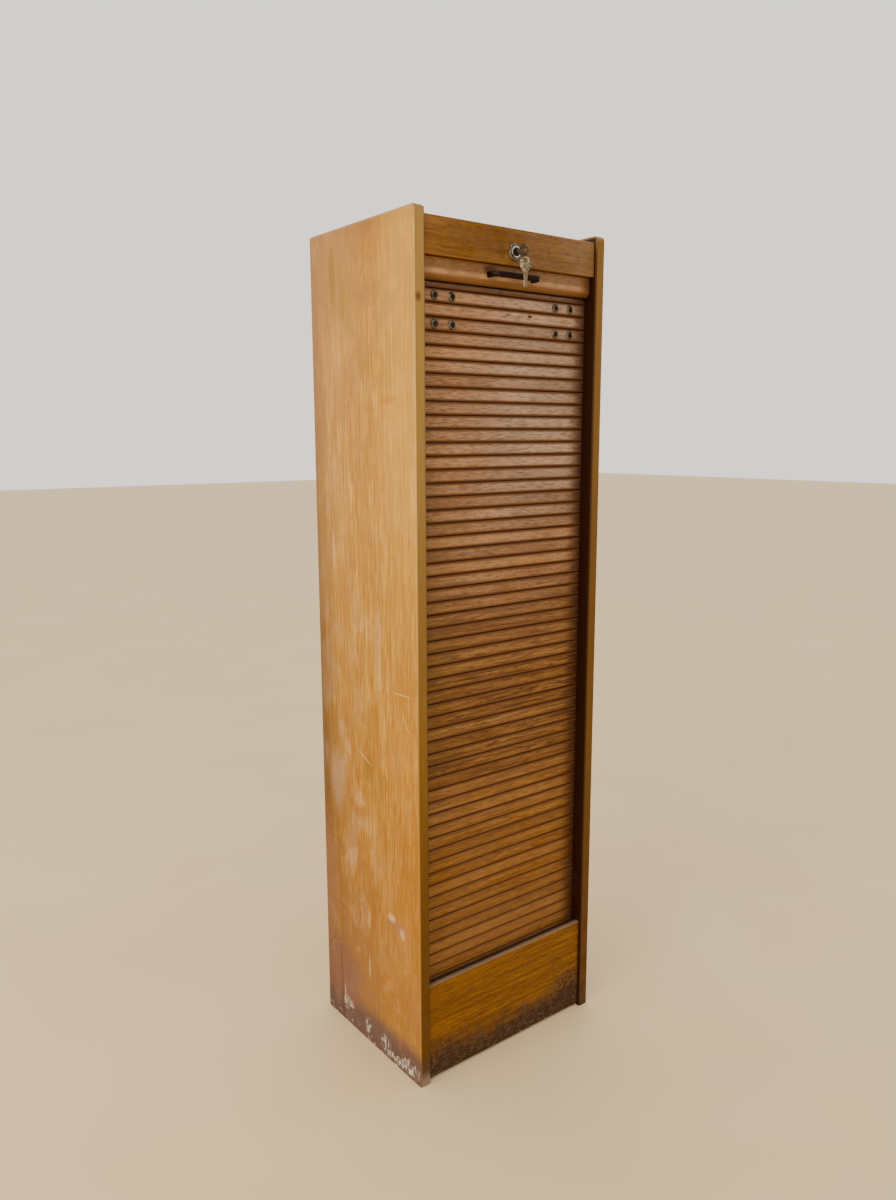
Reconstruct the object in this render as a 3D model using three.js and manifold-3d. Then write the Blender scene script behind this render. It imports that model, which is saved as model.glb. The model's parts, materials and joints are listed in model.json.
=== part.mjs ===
// A tall, narrow filing cabinet in oak, closed by a tambour that slides down.
// Millimetres, +Z up, the front faces -Y and the origin is on the floor, under the middle.
// Two side boards carry a routed guide groove on their inner faces. It runs down the front, round a bend
// behind the plinth, along under the floor shelf and up the back, and the ends of the slats slide in it.
// The slats are glued to canvas. The lead rail at their head has the handle, and a cam lock in the fascia
// above holds it shut.

import * as THREE from "three";
import { mergeVertices } from "three/addons/utils/BufferGeometryUtils.js";
import Module from "manifold-3d";

const wasm = await Module();
wasm.setup();

// Carcass
const cabinetWidth = 392;
const cabinetDepth = 302;
const cabinetHeight = 1400;
const sideThickness = 20;
const sideTopRound = 6; // bullnose along the top of each side
const sideCornerRadius = 11; // upper corners of a side, seen from beside it
const sideFrontRound = 3;
const sideBackRound = 6;
const topBoardDrop = 11.5; // the sides stand above the top board by this
const topBoardThickness = 18;
const boardRound = 1.2; // worn arrises of the boards
const housingDepth = 6; // boards are let into the sides by this
const fitGap = 0.3; // between pieces that are fitted or glued
const slideGap = 1; // between pieces that slide

// Fascia and plinth
const fasciaSetback = 5; // behind the front edges of the sides
const fasciaThickness = 20;
const fasciaHeight = 55;
const plinthSetback = 6;
const plinthThickness = 15;
const plinthTop = 173.5;
const plinthLift = 5; // the plinth clears the floor by this

// Tambour
const slatSetback = 26; // behind the front edges of the sides
const slatThickness = 8;
const slatPitch = 20.7;
const slatGap = 0.8;
const slatRound = 2.8; // front arrises
const glueDepth = 0.4; // of the canvas, into the backs of the slats
const firstSlatHeight = 8.9; // the strip under the lead rail is ripped narrower
const rigidSlatCount = 4; // these stay in the straight part of the groove when the tambour is down
const canvasThickness = 0.8;
const canvasInset = 3; // canvas stops short of the sides
const railSetback = 14;
const railHeight = 32;
const railRound = 10; // lower front edge of the lead rail
const railTopRound = 1.5;
const stopGap = 0.5; // between the lead rail and what stops it at either end

// Guide groove
const grooveDepth = 7;
const grooveSlack = 1.5; // play across the slats, which they need in the bends
const tongueLength = 6; // of each slat end, inside the groove
const bendRadius = 64; // at mid-groove
const grooveFloorWall = 12; // wood left under the groove
const grooveBackWall = 4; // wood left between the groove and the back rebate
const grooveHeadroom = 4; // groove above the lead rail
const grooveTail = 10; // groove stops this far under the top board at the back

// Back and shelves
const backPanelThickness = 5;
const backPanelInset = 1;
const backPanelLift = 20; // the outer back clears the floor by this
const rebateWidth = 8;
const innerBackThickness = 4;
const innerBackGap = 4; // between the false back and the canvas
const innerBackSlotDepth = 5;
const floorShelfThickness = 18;
const shelfThickness = 12;
const shelfCount = 5;
const shelfSetback = 44; // clears the lead rail, the screws and the plates that slide past

// Handle
const handleLength = 98;
const handleReach = 20;
const handleBarDepth = 7;
const handleBarHeight = 9;
const handleBarRound = 2.4;
const handleBend = 11; // outer corner radius
const handleRise = 16; // middle of the bar above the underside of the lead rail
const handleScrewRadius = 2;
const handleScrewHeadRadius = 4;
const handleScrewHeadHeight = 2.2;
const handleScrewBite = 11; // length inside a foot of the handle

// Screws, cup washers and plates on the slats
const screwInset = 35; // outer screws from the sides
const screwSpacing = 33;
const upperScrewSlatCount = 1; // slats down from the lead rail to each row of screws
const lowerScrewSlatCount = 3;
const screwRadius = 2;
const screwHeadRadius = 4.25;
const screwDome = 1.3;
const screwTip = 1; // beyond the plate behind
const slotWidth = 1.2;
const slotDepth = 1;
const slotTurnShare = 0.31; // of a half turn, from each screw to the next
const washerRadius = 7.2;
const washerHeight = 2.6;
const washerLip = 0.5;
const washerTopWidth = 0.7;
const washerBore = 2.55;
const plateThickness = 2;
const plateMargin = 11; // from the screws to the side edges of the plate
const plateEdge = 2; // from the slat edges to the ends of the plate

// Lock
const lockDrop = 35; // centre of the lock under the top of the fascia
const rosetteRadius = 13.5;
const rosetteHeight = 3;
const rosetteRound = 2.2;
const housingRadius = 9.4;
const housingProud = 1.4;
const housingRound = 0.8;
const housingLength = 29;
const nutRadius = 12.2;
const nutThickness = 4;
const plugRadius = 6;
const plugProud = 0.9;
const plugStubRadius = 3.4;
const camThickness = 2.5;
const camReach = 16;
const camHubRadius = 5.5;
const camTipRadius = 4;
const camScrewHeadRadius = 4.6;
const camScrewHeadHeight = 2;
const camScrewRadius = 1.7;
const camScrewLength = 7;
const keywayDepth = 26;

// Strike plate on the back of the lead rail
const strikeThickness = 2;
const strikeInner = 7.5; // nearest edge of the hook to the lock's centre line
const strikeOuter = 28;
const strikeFoot = 24; // length of plate on the lead rail
const strikeStem = 8;
const strikeHook = 5;
const strikeClearance = 1.2; // between the hook and the turned cam
const strikeCorner = 2;
const strikeScrewInset = 5;
const strikeScrewRadius = 1.6;
const strikeScrewHeadRadius = 3.2;
const strikeScrewLength = 13;

// Keys
const keyThickness = 1.8;
const keyBladeWidth = 6.4;
const keyBladeLength = 24;
const keyTip = 1.8; // chamfer at the tip
const keyCutPitch = 4;
const keyCutDepth = 1.3;
const keyCutCount = 4;
const keyNeck = 5; // between the plug and the bow of the key in the lock
const keyBowLength = 21;
const keyBowWidth = 18.5;
const keyBowCorner = 5;
const keyHoleRadius = 3.2;
const keyHoleEdge = 2.4; // metal left outside the hole
const ringRadius = 6.6;
const ringWire = 0.9;
const hangGap = 0.8; // play where the ring hangs in the key and the spare key on the ring
const spareTurn = THREE.MathUtils.degToRad(40);

// Facets
const overrun = 5; // how far a cutting tool reaches past what it cuts
const mergeTolerance = 1e-4;
const roundSteps = 2;
const handleBevelSteps = 3;
const arcSteps = 5;
const bendSteps = 14;
const screwSides = 12;
const lockSides = 28;
const ringSteps = 24;
const wireSides = 8;
const hexSides = 6;

// Places that follow from the sizes
const halfWidth = cabinetWidth / 2;
const innerHalf = halfWidth - sideThickness;
const frontPlane = -cabinetDepth / 2;
const behind = (setback) => frontPlane + setback;
const fasciaTop = cabinetHeight - topBoardDrop;
const fasciaBottom = fasciaTop - fasciaHeight;
const fasciaBack = behind(fasciaSetback + fasciaThickness);
const topBoardUnder = fasciaTop - topBoardThickness;
const railTop = fasciaBottom - stopGap;
const railBottom = railTop - railHeight;
const slatFront = behind(slatSetback);
const slatBack = slatFront + slatThickness;
const slatHeight = slatPitch - slatGap;
const firstSlatTop = railBottom - slatGap;
const tambourTop = firstSlatTop - firstSlatHeight - slatGap;
const slatTop = (number) => tambourTop - (number - 1) * slatPitch;
const curtainTop = slatTop(rigidSlatCount + 1);
const canvasFront = slatBack + fitGap;
const canvasBack = canvasFront + canvasThickness;
const grooveHalf = (slatThickness + grooveSlack) / 2;
const grooveFront = slatFront + slatThickness / 2;
const rebateFront = -frontPlane - backPanelInset - backPanelThickness - fitGap;
const grooveBack = rebateFront - grooveBackWall - grooveHalf;
const grooveFloor = grooveFloorWall + grooveHalf;
const bendCentre = grooveFloor + bendRadius;
const slatCount = Math.floor((tambourTop - bendCentre) / slatPitch);
const curtainBottom = slatTop(slatCount) - slatHeight;
const innerBackBack = grooveBack - slatThickness / 2 - canvasThickness - fitGap - innerBackGap;
const innerBackFront = innerBackBack - innerBackThickness;
const shelfFront = behind(shelfSetback);
const shelfBack = innerBackFront - fitGap;
const shelfSpace = (topBoardUnder - plinthTop - shelfCount * shelfThickness) / (shelfCount + 1);
const lockHeight = fasciaTop - lockDrop;
const fasciaFront = behind(fasciaSetback);
const housingFront = fasciaFront - rosetteHeight - housingProud;
const housingBack = housingFront + housingLength + rosetteHeight;
const camFront = housingBack + fitGap;
const camBack = camFront + camThickness;
const railFront = behind(railSetback);
const handleHeight = railBottom + handleRise;
const handleFront = railFront - handleReach;
const outerScrewX = innerHalf - screwInset;
const innerScrewX = outerScrewX - screwSpacing;
const screwSlats = [upperScrewSlatCount, lowerScrewSlatCount];
const plateFront = canvasBack + fitGap;
const plateBack = plateFront + plateThickness;

// Finishes
function finish(color, roughness, metalness = 0) {
  return new THREE.MeshStandardMaterial({ color, roughness, metalness });
}

const sideOak = finish(0xb07a3c, 0.5);
const frontOak = finish(0x8a5a24, 0.45);
const plinthOak = finish(0x85591b, 0.5);
const slatOak = finish(0x8f5f33, 0.5);
const insideOak = finish(0xb08a5c, 0.7);
const plywood = finish(0xa58253, 0.75);
const linen = finish(0x9c8f72, 0.95);
const darkMetal = finish(0x1f1512, 0.4, 0.3);
const agedSteel = finish(0x6f6a60, 0.45, 0.9);
const zincSteel = finish(0x8d8b86, 0.5, 0.9);
const nickel = finish(0xb9b3a4, 0.25, 1);
const brassy = finish(0x9c9078, 0.4, 0.9);

const cabinet = new THREE.Group();

// Geometry to solid and back. Corners that meet are merged, and slivers with two equal corners are left
// out.
function solidOf(geometry) {
  const bare = geometry.clone();
  bare.deleteAttribute("normal");
  bare.deleteAttribute("uv");
  const merged = mergeVertices(bare, mergeTolerance);
  const corners = merged.index.array;
  const kept = [];
  for (let i = 0; i < corners.length; i += 3) {
    const [a, b, c] = [corners[i], corners[i + 1], corners[i + 2]];
    if (a !== b && b !== c && c !== a) kept.push(a, b, c);
  }
  const vertProperties = new Float32Array(merged.attributes.position.array);
  const triVerts = new Uint32Array(kept);
  return new wasm.Manifold(new wasm.Mesh({ numProp: 3, vertProperties, triVerts }));
}

function geometryOf(solid) {
  const mesh = solid.getMesh();
  const geometry = new THREE.BufferGeometry();
  geometry.setAttribute("position", new THREE.BufferAttribute(new Float32Array(mesh.vertProperties), 3));
  geometry.setIndex(new THREE.BufferAttribute(new Uint32Array(mesh.triVerts), 1));
  geometry.computeVertexNormals();
  return geometry;
}

function addPiece(name, solid, material, parent = cabinet) {
  const mesh = new THREE.Mesh(geometryOf(solid), material);
  mesh.name = name;
  parent.add(mesh);
  return mesh;
}

// Shapes: a closed outline, extruded along one axis
function rectangle(left, right, low, high) {
  const shape = new THREE.Shape();
  shape.moveTo(left, low);
  shape.lineTo(right, low);
  shape.lineTo(right, high);
  shape.lineTo(left, high);
  shape.closePath();
  return shape;
}

// Corner radii go round from low left: low left, low right, high right, high left.
function roundedRectangle(left, right, low, high, radii) {
  const [a, b, c, d] = radii;
  const quarter = Math.PI / 2;
  const shape = new THREE.Shape();
  shape.moveTo(left + a, low);
  shape.lineTo(right - b, low);
  if (b > 0) shape.absarc(right - b, low + b, b, -quarter, 0, false);
  shape.lineTo(right, high - c);
  if (c > 0) shape.absarc(right - c, high - c, c, 0, quarter, false);
  shape.lineTo(left + d, high);
  if (d > 0) shape.absarc(left + d, high - d, d, quarter, 2 * quarter, false);
  shape.lineTo(left, low + a);
  if (a > 0) shape.absarc(left + a, low + a, a, 2 * quarter, 3 * quarter, false);
  return shape;
}

function extrude(shape, depth, steps = arcSteps, extra = {}) {
  return new THREE.ExtrudeGeometry(shape, { depth, bevelEnabled: false, curveSegments: steps, ...extra });
}

// The outline's two directions are Y and Z.
function alongX(shape, from, to, steps, extra) {
  const turn = new THREE.Matrix4().makeBasis(
    new THREE.Vector3(0, 1, 0), new THREE.Vector3(0, 0, 1), new THREE.Vector3(1, 0, 0));
  return solidOf(extrude(shape, to - from, steps, extra).applyMatrix4(turn).translate(from, 0, 0));
}

// The outline's two directions are X and Z.
function alongY(shape, from, to, steps, extra) {
  return solidOf(extrude(shape, to - from, steps, extra).rotateX(Math.PI / 2).translate(0, to, 0));
}

// The outline's two directions are X and Y.
function alongZ(shape, from, to, steps, extra) {
  return solidOf(extrude(shape, to - from, steps, extra).translate(0, 0, from));
}

function block(left, right, front, back, low, high) {
  return alongZ(rectangle(left, right, front, back), low, high);
}

function board(left, right, front, back, low, high, round = boardRound) {
  const section = roundedRectangle(front, back, low, high, [round, round, round, round]);
  return alongX(section, left, right, roundSteps);
}

// A turned piece on an axis along Y. Each point of the profile is a radius and a place on the axis.
function turned(profile, x, z, sides) {
  const points = profile.map(([radius, place]) => new THREE.Vector2(radius, place));
  return solidOf(new THREE.LatheGeometry(points, sides)).translate([x, 0, z]);
}

function rodY(radius, front, back, x, z, sides = screwSides) {
  return turned([[0, front], [radius, front], [radius, back], [0, back]], x, z, sides);
}

// Profile points of a quarter arc, as turned() takes them
function arcPoints(radius, centreRadius, centrePlace, from, to, steps) {
  return Array.from({ length: steps + 1 }, (_, i) => {
    const angle = from + ((to - from) * i) / steps;
    return [centreRadius + radius * Math.cos(angle), centrePlace + radius * Math.sin(angle)];
  });
}

// The groove, seen from beside the cabinet: front run, bend, bottom run, bend, back run
function grooveOutline() {
  const nearCentre = grooveFront + bendRadius;
  const farCentre = grooveBack - bendRadius;
  const outer = bendRadius + grooveHalf;
  const inner = bendRadius - grooveHalf;
  const frontTop = railTop + grooveHeadroom;
  const backTop = topBoardUnder - grooveTail;
  const shape = new THREE.Shape();
  shape.moveTo(grooveFront - grooveHalf, frontTop);
  shape.lineTo(grooveFront - grooveHalf, bendCentre);
  shape.absarc(nearCentre, bendCentre, outer, Math.PI, 1.5 * Math.PI, false);
  shape.lineTo(farCentre, grooveFloor - grooveHalf);
  shape.absarc(farCentre, bendCentre, outer, 1.5 * Math.PI, 2 * Math.PI, false);
  shape.lineTo(grooveBack + grooveHalf, backTop);
  shape.lineTo(grooveBack - grooveHalf, backTop);
  shape.lineTo(grooveBack - grooveHalf, bendCentre);
  shape.absarc(farCentre, bendCentre, inner, 2 * Math.PI, 1.5 * Math.PI, true);
  shape.lineTo(nearCentre, grooveFloor + grooveHalf);
  shape.absarc(nearCentre, bendCentre, inner, 1.5 * Math.PI, Math.PI, true);
  shape.lineTo(grooveFront + grooveHalf, frontTop);
  shape.closePath();
  return shape;
}

function shelfUnderside(number) {
  return plinthTop + number * shelfSpace + (number - 1) * shelfThickness;
}

// The left side. The right one is its mirror image.
function sidePanel(mirrored) {
  const left = -halfWidth;
  const right = -innerHalf;
  const back = -frontPlane;
  const corners = [0, 0, sideCornerRadius, sideCornerRadius];
  const outline = roundedRectangle(frontPlane, back, 0, cabinetHeight, corners);
  const topRounds = [0, 0, sideTopRound, sideTopRound];
  const topSection = roundedRectangle(left, right, -overrun, cabinetHeight, topRounds);
  const planRounds = [sideFrontRound, sideFrontRound, 0, sideBackRound];
  const plan = roundedRectangle(left, right, frontPlane, back, planRounds);
  let panel = alongX(outline, left, right, arcSteps);
  panel = panel.intersect(alongY(topSection, frontPlane - overrun, back + overrun, arcSteps));
  panel = panel.intersect(alongZ(plan, -overrun, cabinetHeight + overrun, arcSteps));

  const inside = right + overrun;
  const housing = (front, rear, low, high) =>
    block(right - housingDepth, inside, front, rear, low - fitGap, high + fitGap);
  const cuts = [
    alongX(grooveOutline(), right - grooveDepth, inside, bendSteps),
    block(right - rebateWidth, inside, rebateFront, back + overrun, -overrun, fasciaTop + fitGap),
    block(right - innerBackSlotDepth, inside, innerBackFront - fitGap, innerBackBack + fitGap,
      plinthTop - floorShelfThickness - fitGap, topBoardUnder),
    housing(fasciaBack, rebateFront + fitGap, topBoardUnder, fasciaTop),
    housing(shelfFront - fitGap, innerBackFront, plinthTop - floorShelfThickness, plinthTop),
  ];
  for (let number = 1; number <= shelfCount; number += 1) {
    const under = shelfUnderside(number);
    cuts.push(housing(shelfFront - fitGap, innerBackFront, under, under + shelfThickness));
  }
  for (const cut of cuts) panel = panel.subtract(cut);
  return mirrored ? panel.mirror([1, 0, 0]) : panel;
}

function addCarcass() {
  addPiece("side_panel_left", sidePanel(false), sideOak);
  addPiece("side_panel_right", sidePanel(true), sideOak);

  const housed = innerHalf + housingDepth - fitGap;
  const fitted = innerHalf - fitGap;
  const topFront = fasciaBack + fitGap;
  addPiece("top_board", board(-housed, housed, topFront, rebateFront, topBoardUnder, fasciaTop), frontOak);

  const holeRadius = housingRadius + fitGap;
  const lockHole = rodY(holeRadius, fasciaFront - overrun, fasciaBack + overrun, 0, lockHeight, lockSides);
  const fascia = board(-fitted, fitted, fasciaFront, fasciaBack, fasciaBottom, fasciaTop);
  addPiece("fascia", fascia.subtract(lockHole), frontOak);

  const plinthFront = behind(plinthSetback);
  const plinthBack = plinthFront + plinthThickness;
  addPiece("plinth", board(-fitted, fitted, plinthFront, plinthBack, plinthLift, plinthTop), plinthOak);

  const floorUnder = plinthTop - floorShelfThickness;
  addPiece("floor_shelf", board(-housed, housed, shelfFront, shelfBack, floorUnder, plinthTop), insideOak);
  for (let number = 1; number <= shelfCount; number += 1) {
    const under = shelfUnderside(number);
    const shelf = board(-housed, housed, shelfFront, shelfBack, under, under + shelfThickness);
    addPiece(`shelf_${number}`, shelf, insideOak);
  }

  const slotted = innerHalf + innerBackSlotDepth - fitGap;
  const innerTop = topBoardUnder - fitGap;
  const innerBack = block(-slotted, slotted, innerBackFront, innerBackBack, floorUnder, innerTop);
  addPiece("inner_back_panel", innerBack, plywood);
  const rebated = innerHalf + rebateWidth - fitGap;
  const panelFront = rebateFront + fitGap;
  const panelBack = panelFront + backPanelThickness;
  addPiece("back_panel", block(-rebated, rebated, panelFront, panelBack, backPanelLift, fasciaTop), plywood);
}

// One slat: rounded front arrises, and ends that slide in the groove
function slat(top, height) {
  const radii = [slatRound, 0, 0, slatRound];
  const section = roundedRectangle(slatFront, slatBack, top - height, top, radii);
  return alongX(section, -innerHalf - tongueLength, innerHalf + tongueLength, roundSteps);
}

const screwPlaces = [];
for (const number of screwSlats) {
  for (const x of [-outerScrewX, -innerScrewX, innerScrewX, outerScrewX]) {
    screwPlaces.push([x, slatTop(number) - slatHeight / 2]);
  }
}

function withScrewHoles(solid, radius) {
  return screwPlaces.reduce(
    (rest, [x, z]) => rest.subtract(rodY(radius, slatFront - overrun, plateBack + overrun, x, z)), solid);
}

function addSlats() {
  addPiece("tambour_slat_0", slat(firstSlatTop, firstSlatHeight), slatOak);
  for (let number = 1; number <= rigidSlatCount; number += 1) {
    const plain = slat(slatTop(number), slatHeight);
    const solid = screwSlats.includes(number) ? withScrewHoles(plain, screwRadius + fitGap) : plain;
    addPiece(`tambour_slat_${number}`, solid, slatOak);
  }

  const half = innerHalf - canvasInset;
  const low = curtainTop + slatGap / 2 + fitGap / 2;
  const backing = block(-half, half, canvasFront, canvasBack, low, railTop - strikeFoot - slideGap);
  addPiece("canvas_backing", withScrewHoles(backing, screwRadius + fitGap), linen);
}

// The rest of the slats, on their canvas
function addCurtain() {
  const half = innerHalf - canvasInset;
  const glued = slatBack - glueDepth;
  const canvasLow = curtainBottom + slatGap;
  const pieces = [block(-half, half, glued, slatBack + canvasThickness, canvasLow, curtainTop)];
  for (let number = rigidSlatCount + 1; number <= slatCount; number += 1) {
    pieces.push(slat(slatTop(number), slatHeight));
  }
  addPiece("tambour_curtain", wasm.Manifold.union(pieces), slatOak);
}

function addLeadRail() {
  const radii = [railRound, boardRound, boardRound, railTopRound];
  const section = roundedRectangle(railFront, slatBack, railBottom, railTop, radii);
  let rail = alongX(section, -innerHalf + slideGap, innerHalf - slideGap, 2 * arcSteps);
  const end = innerHalf + tongueLength;
  const tongueLow = railBottom + boardRound;
  rail = rail.add(block(-end, end, slatFront, slatBack - fitGap, tongueLow, railTop - boardRound));

  const footX = (handleLength - handleBarDepth) / 2;
  for (const x of [-footX, footX]) {
    const holeRadius = handleScrewRadius + fitGap;
    rail = rail.subtract(rodY(holeRadius, railFront - overrun, slatBack + overrun, x, handleHeight));
    const sinkRadius = handleScrewHeadRadius + fitGap;
    const sink = slatBack - handleScrewHeadHeight - fitGap;
    rail = rail.subtract(rodY(sinkRadius, sink, slatBack + overrun, x, handleHeight));
  }
  for (const [x, z] of strikeScrewPlaces()) {
    const sunk = canvasFront + strikeThickness - strikeScrewLength - fitGap;
    rail = rail.subtract(rodY(strikeScrewRadius + fitGap, sunk, slatBack + overrun, x, z));
  }
  addPiece("lead_rail", rail, frontOak);

  const outer = handleLength / 2;
  const inner = outer - handleBarDepth;
  const foot = railFront - fitGap;
  const gapFront = handleFront + handleBarDepth;
  const bow = new THREE.Shape();
  bow.moveTo(-outer, foot);
  bow.lineTo(-outer, handleFront + handleBend);
  bow.absarc(-outer + handleBend, handleFront + handleBend, handleBend, Math.PI, 1.5 * Math.PI, false);
  bow.lineTo(outer - handleBend, handleFront);
  bow.absarc(outer - handleBend, handleFront + handleBend, handleBend, 1.5 * Math.PI, 2 * Math.PI, false);
  bow.lineTo(outer, foot);
  bow.lineTo(inner, foot);
  const innerBend = handleBend - handleBarDepth;
  bow.lineTo(inner, gapFront + innerBend);
  bow.absarc(inner - innerBend, gapFront + innerBend, innerBend, 2 * Math.PI, 1.5 * Math.PI, true);
  bow.lineTo(-inner + innerBend, gapFront);
  bow.absarc(-inner + innerBend, gapFront + innerBend, innerBend, 1.5 * Math.PI, Math.PI, true);
  bow.lineTo(-inner, foot);
  bow.closePath();
  const round = handleBarRound;
  const bevelSizes = { bevelSize: round, bevelThickness: round, bevelOffset: -round };
  const bevel = { bevelEnabled: true, bevelSegments: handleBevelSteps, ...bevelSizes };
  const low = handleHeight - handleBarHeight / 2 + round;
  let handle = alongZ(bow, low, low + handleBarHeight - 2 * round, arcSteps, bevel);
  for (const x of [-footX, footX]) {
    const deep = foot - handleScrewBite - fitGap;
    handle = handle.subtract(rodY(handleScrewRadius + fitGap, deep, foot + overrun, x, handleHeight));
  }
  addPiece("handle", handle, darkMetal);

  const names = ["handle_screw_left", "handle_screw_right"];
  for (const [index, x] of [-footX, footX].entries()) {
    const headFront = slatBack - handleScrewHeadHeight;
    const tip = foot - handleScrewBite;
    const profile = [
      [0, tip], [handleScrewRadius, tip], [handleScrewRadius, headFront],
      [handleScrewHeadRadius, headFront], [handleScrewHeadRadius, slatBack], [0, slatBack],
    ];
    addPiece(names[index], turned(profile, x, handleHeight, screwSides), zincSteel);
  }
}

function strikeScrewPlaces() {
  const z = railTop - strikeFoot / 2;
  return [[strikeInner + strikeScrewInset, z], [strikeOuter - strikeScrewInset, z]];
}

// A hook that stands up behind the fascia. The turned cam lies under its arm and keeps the rail from
// sliding down.
function addStrike() {
  const front = canvasFront;
  const back = front + strikeThickness;
  const armUnder = lockHeight + camTipRadius + strikeClearance;
  const shape = new THREE.Shape();
  shape.moveTo(strikeInner, railTop - strikeFoot);
  shape.lineTo(strikeOuter, railTop - strikeFoot);
  const cornerX = strikeOuter - strikeCorner;
  const cornerZ = armUnder + strikeHook - strikeCorner;
  shape.lineTo(strikeOuter, cornerZ);
  shape.absarc(cornerX, cornerZ, strikeCorner, 0, Math.PI / 2, false);
  shape.lineTo(strikeInner, armUnder + strikeHook);
  shape.lineTo(strikeInner, armUnder);
  shape.lineTo(strikeOuter - strikeStem, armUnder);
  shape.lineTo(strikeOuter - strikeStem, railTop);
  shape.lineTo(strikeInner, railTop);
  shape.closePath();
  let strike = alongY(shape, front, back);
  const names = ["strike_screw_left", "strike_screw_right"];
  for (const [index, [x, z]] of strikeScrewPlaces().entries()) {
    const cone = strikeScrewHeadRadius - strikeScrewRadius;
    const head = [
      [0, back - strikeScrewLength], [strikeScrewRadius, back - strikeScrewLength],
      [strikeScrewRadius, back - cone], [strikeScrewHeadRadius, back], [0, back],
    ];
    const holeRadius = strikeScrewRadius + fitGap;
    const sinkRadius = strikeScrewHeadRadius + fitGap;
    const hole = [
      [0, front - overrun], [holeRadius, front - overrun], [holeRadius, back - cone],
      [sinkRadius, back], [sinkRadius, back + overrun], [0, back + overrun],
    ];
    strike = strike.subtract(turned(hole, x, z, screwSides));
    addPiece(names[index], turned(head, x, z, screwSides), zincSteel);
  }
  addPiece("strike_plate", strike, zincSteel);
}

// Slotted oval-head screws in cup washers, tapped into a plate behind the canvas
function addSlatScrews() {
  const seat = slatFront - fitGap;
  const coneRun = washerHeight - washerLip;
  const washerTop = seat - washerHeight;
  const bowlRadius = washerBore + coneRun;
  const headSlack = bowlRadius - screwHeadRadius;
  for (const [index, [x, z]] of screwPlaces.entries()) {
    const crestRadius = bowlRadius + washerTopWidth;
    const cup = [
      [washerBore, seat], [washerRadius, seat], [washerRadius, seat - washerLip],
      [(washerRadius + crestRadius) / 2, (seat + washerTop) / 2 - washerLip], [crestRadius, washerTop],
      [bowlRadius, washerTop], [washerBore, seat - washerLip], [washerBore, seat],
    ];
    const washer = turned(cup.reverse(), x, z, screwSides);
    addPiece(`cup_washer_${index + 1}`, washer, agedSteel);

    const coneFoot = washerTop + screwHeadRadius - screwRadius;
    const half = screwHeadRadius / 2;
    const tip = plateBack + screwTip;
    const shank = [
      [0, tip], [screwRadius, tip], [screwRadius, coneFoot],
      [screwHeadRadius, washerTop], [half * Math.sqrt(3), washerTop - screwDome / 2],
      [half, washerTop - screwDome + headSlack / 2], [0, washerTop - screwDome],
    ];
    const crown = washerTop - screwDome;
    const slotHalf = slotWidth / 2;
    const slot = block(-overrun, overrun, crown - overrun, crown + slotDepth, -slotHalf, slotHalf);
    const turn = THREE.MathUtils.radToDeg(Math.PI * slotTurnShare * index);
    const screw = turned(shank.reverse(), 0, 0, screwSides).subtract(slot.rotate([0, turn, 0]));
    addPiece(`slat_screw_${index + 1}`, screw.translate([x, 0, z]), agedSteel);
  }

  const high = slatTop(screwSlats[0]) - plateEdge;
  const low = slatTop(screwSlats[1]) - slatHeight + plateEdge;
  const sides = { backing_plate_left: -1, backing_plate_right: 1 };
  for (const [name, side] of Object.entries(sides)) {
    const near = side * (innerScrewX - plateMargin);
    const far = side * (outerScrewX + plateMargin);
    const plate = block(Math.min(near, far), Math.max(near, far), plateFront, plateBack, low, high);
    addPiece(name, withScrewHoles(plate, screwRadius + fitGap), zincSteel);
  }
}

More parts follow.
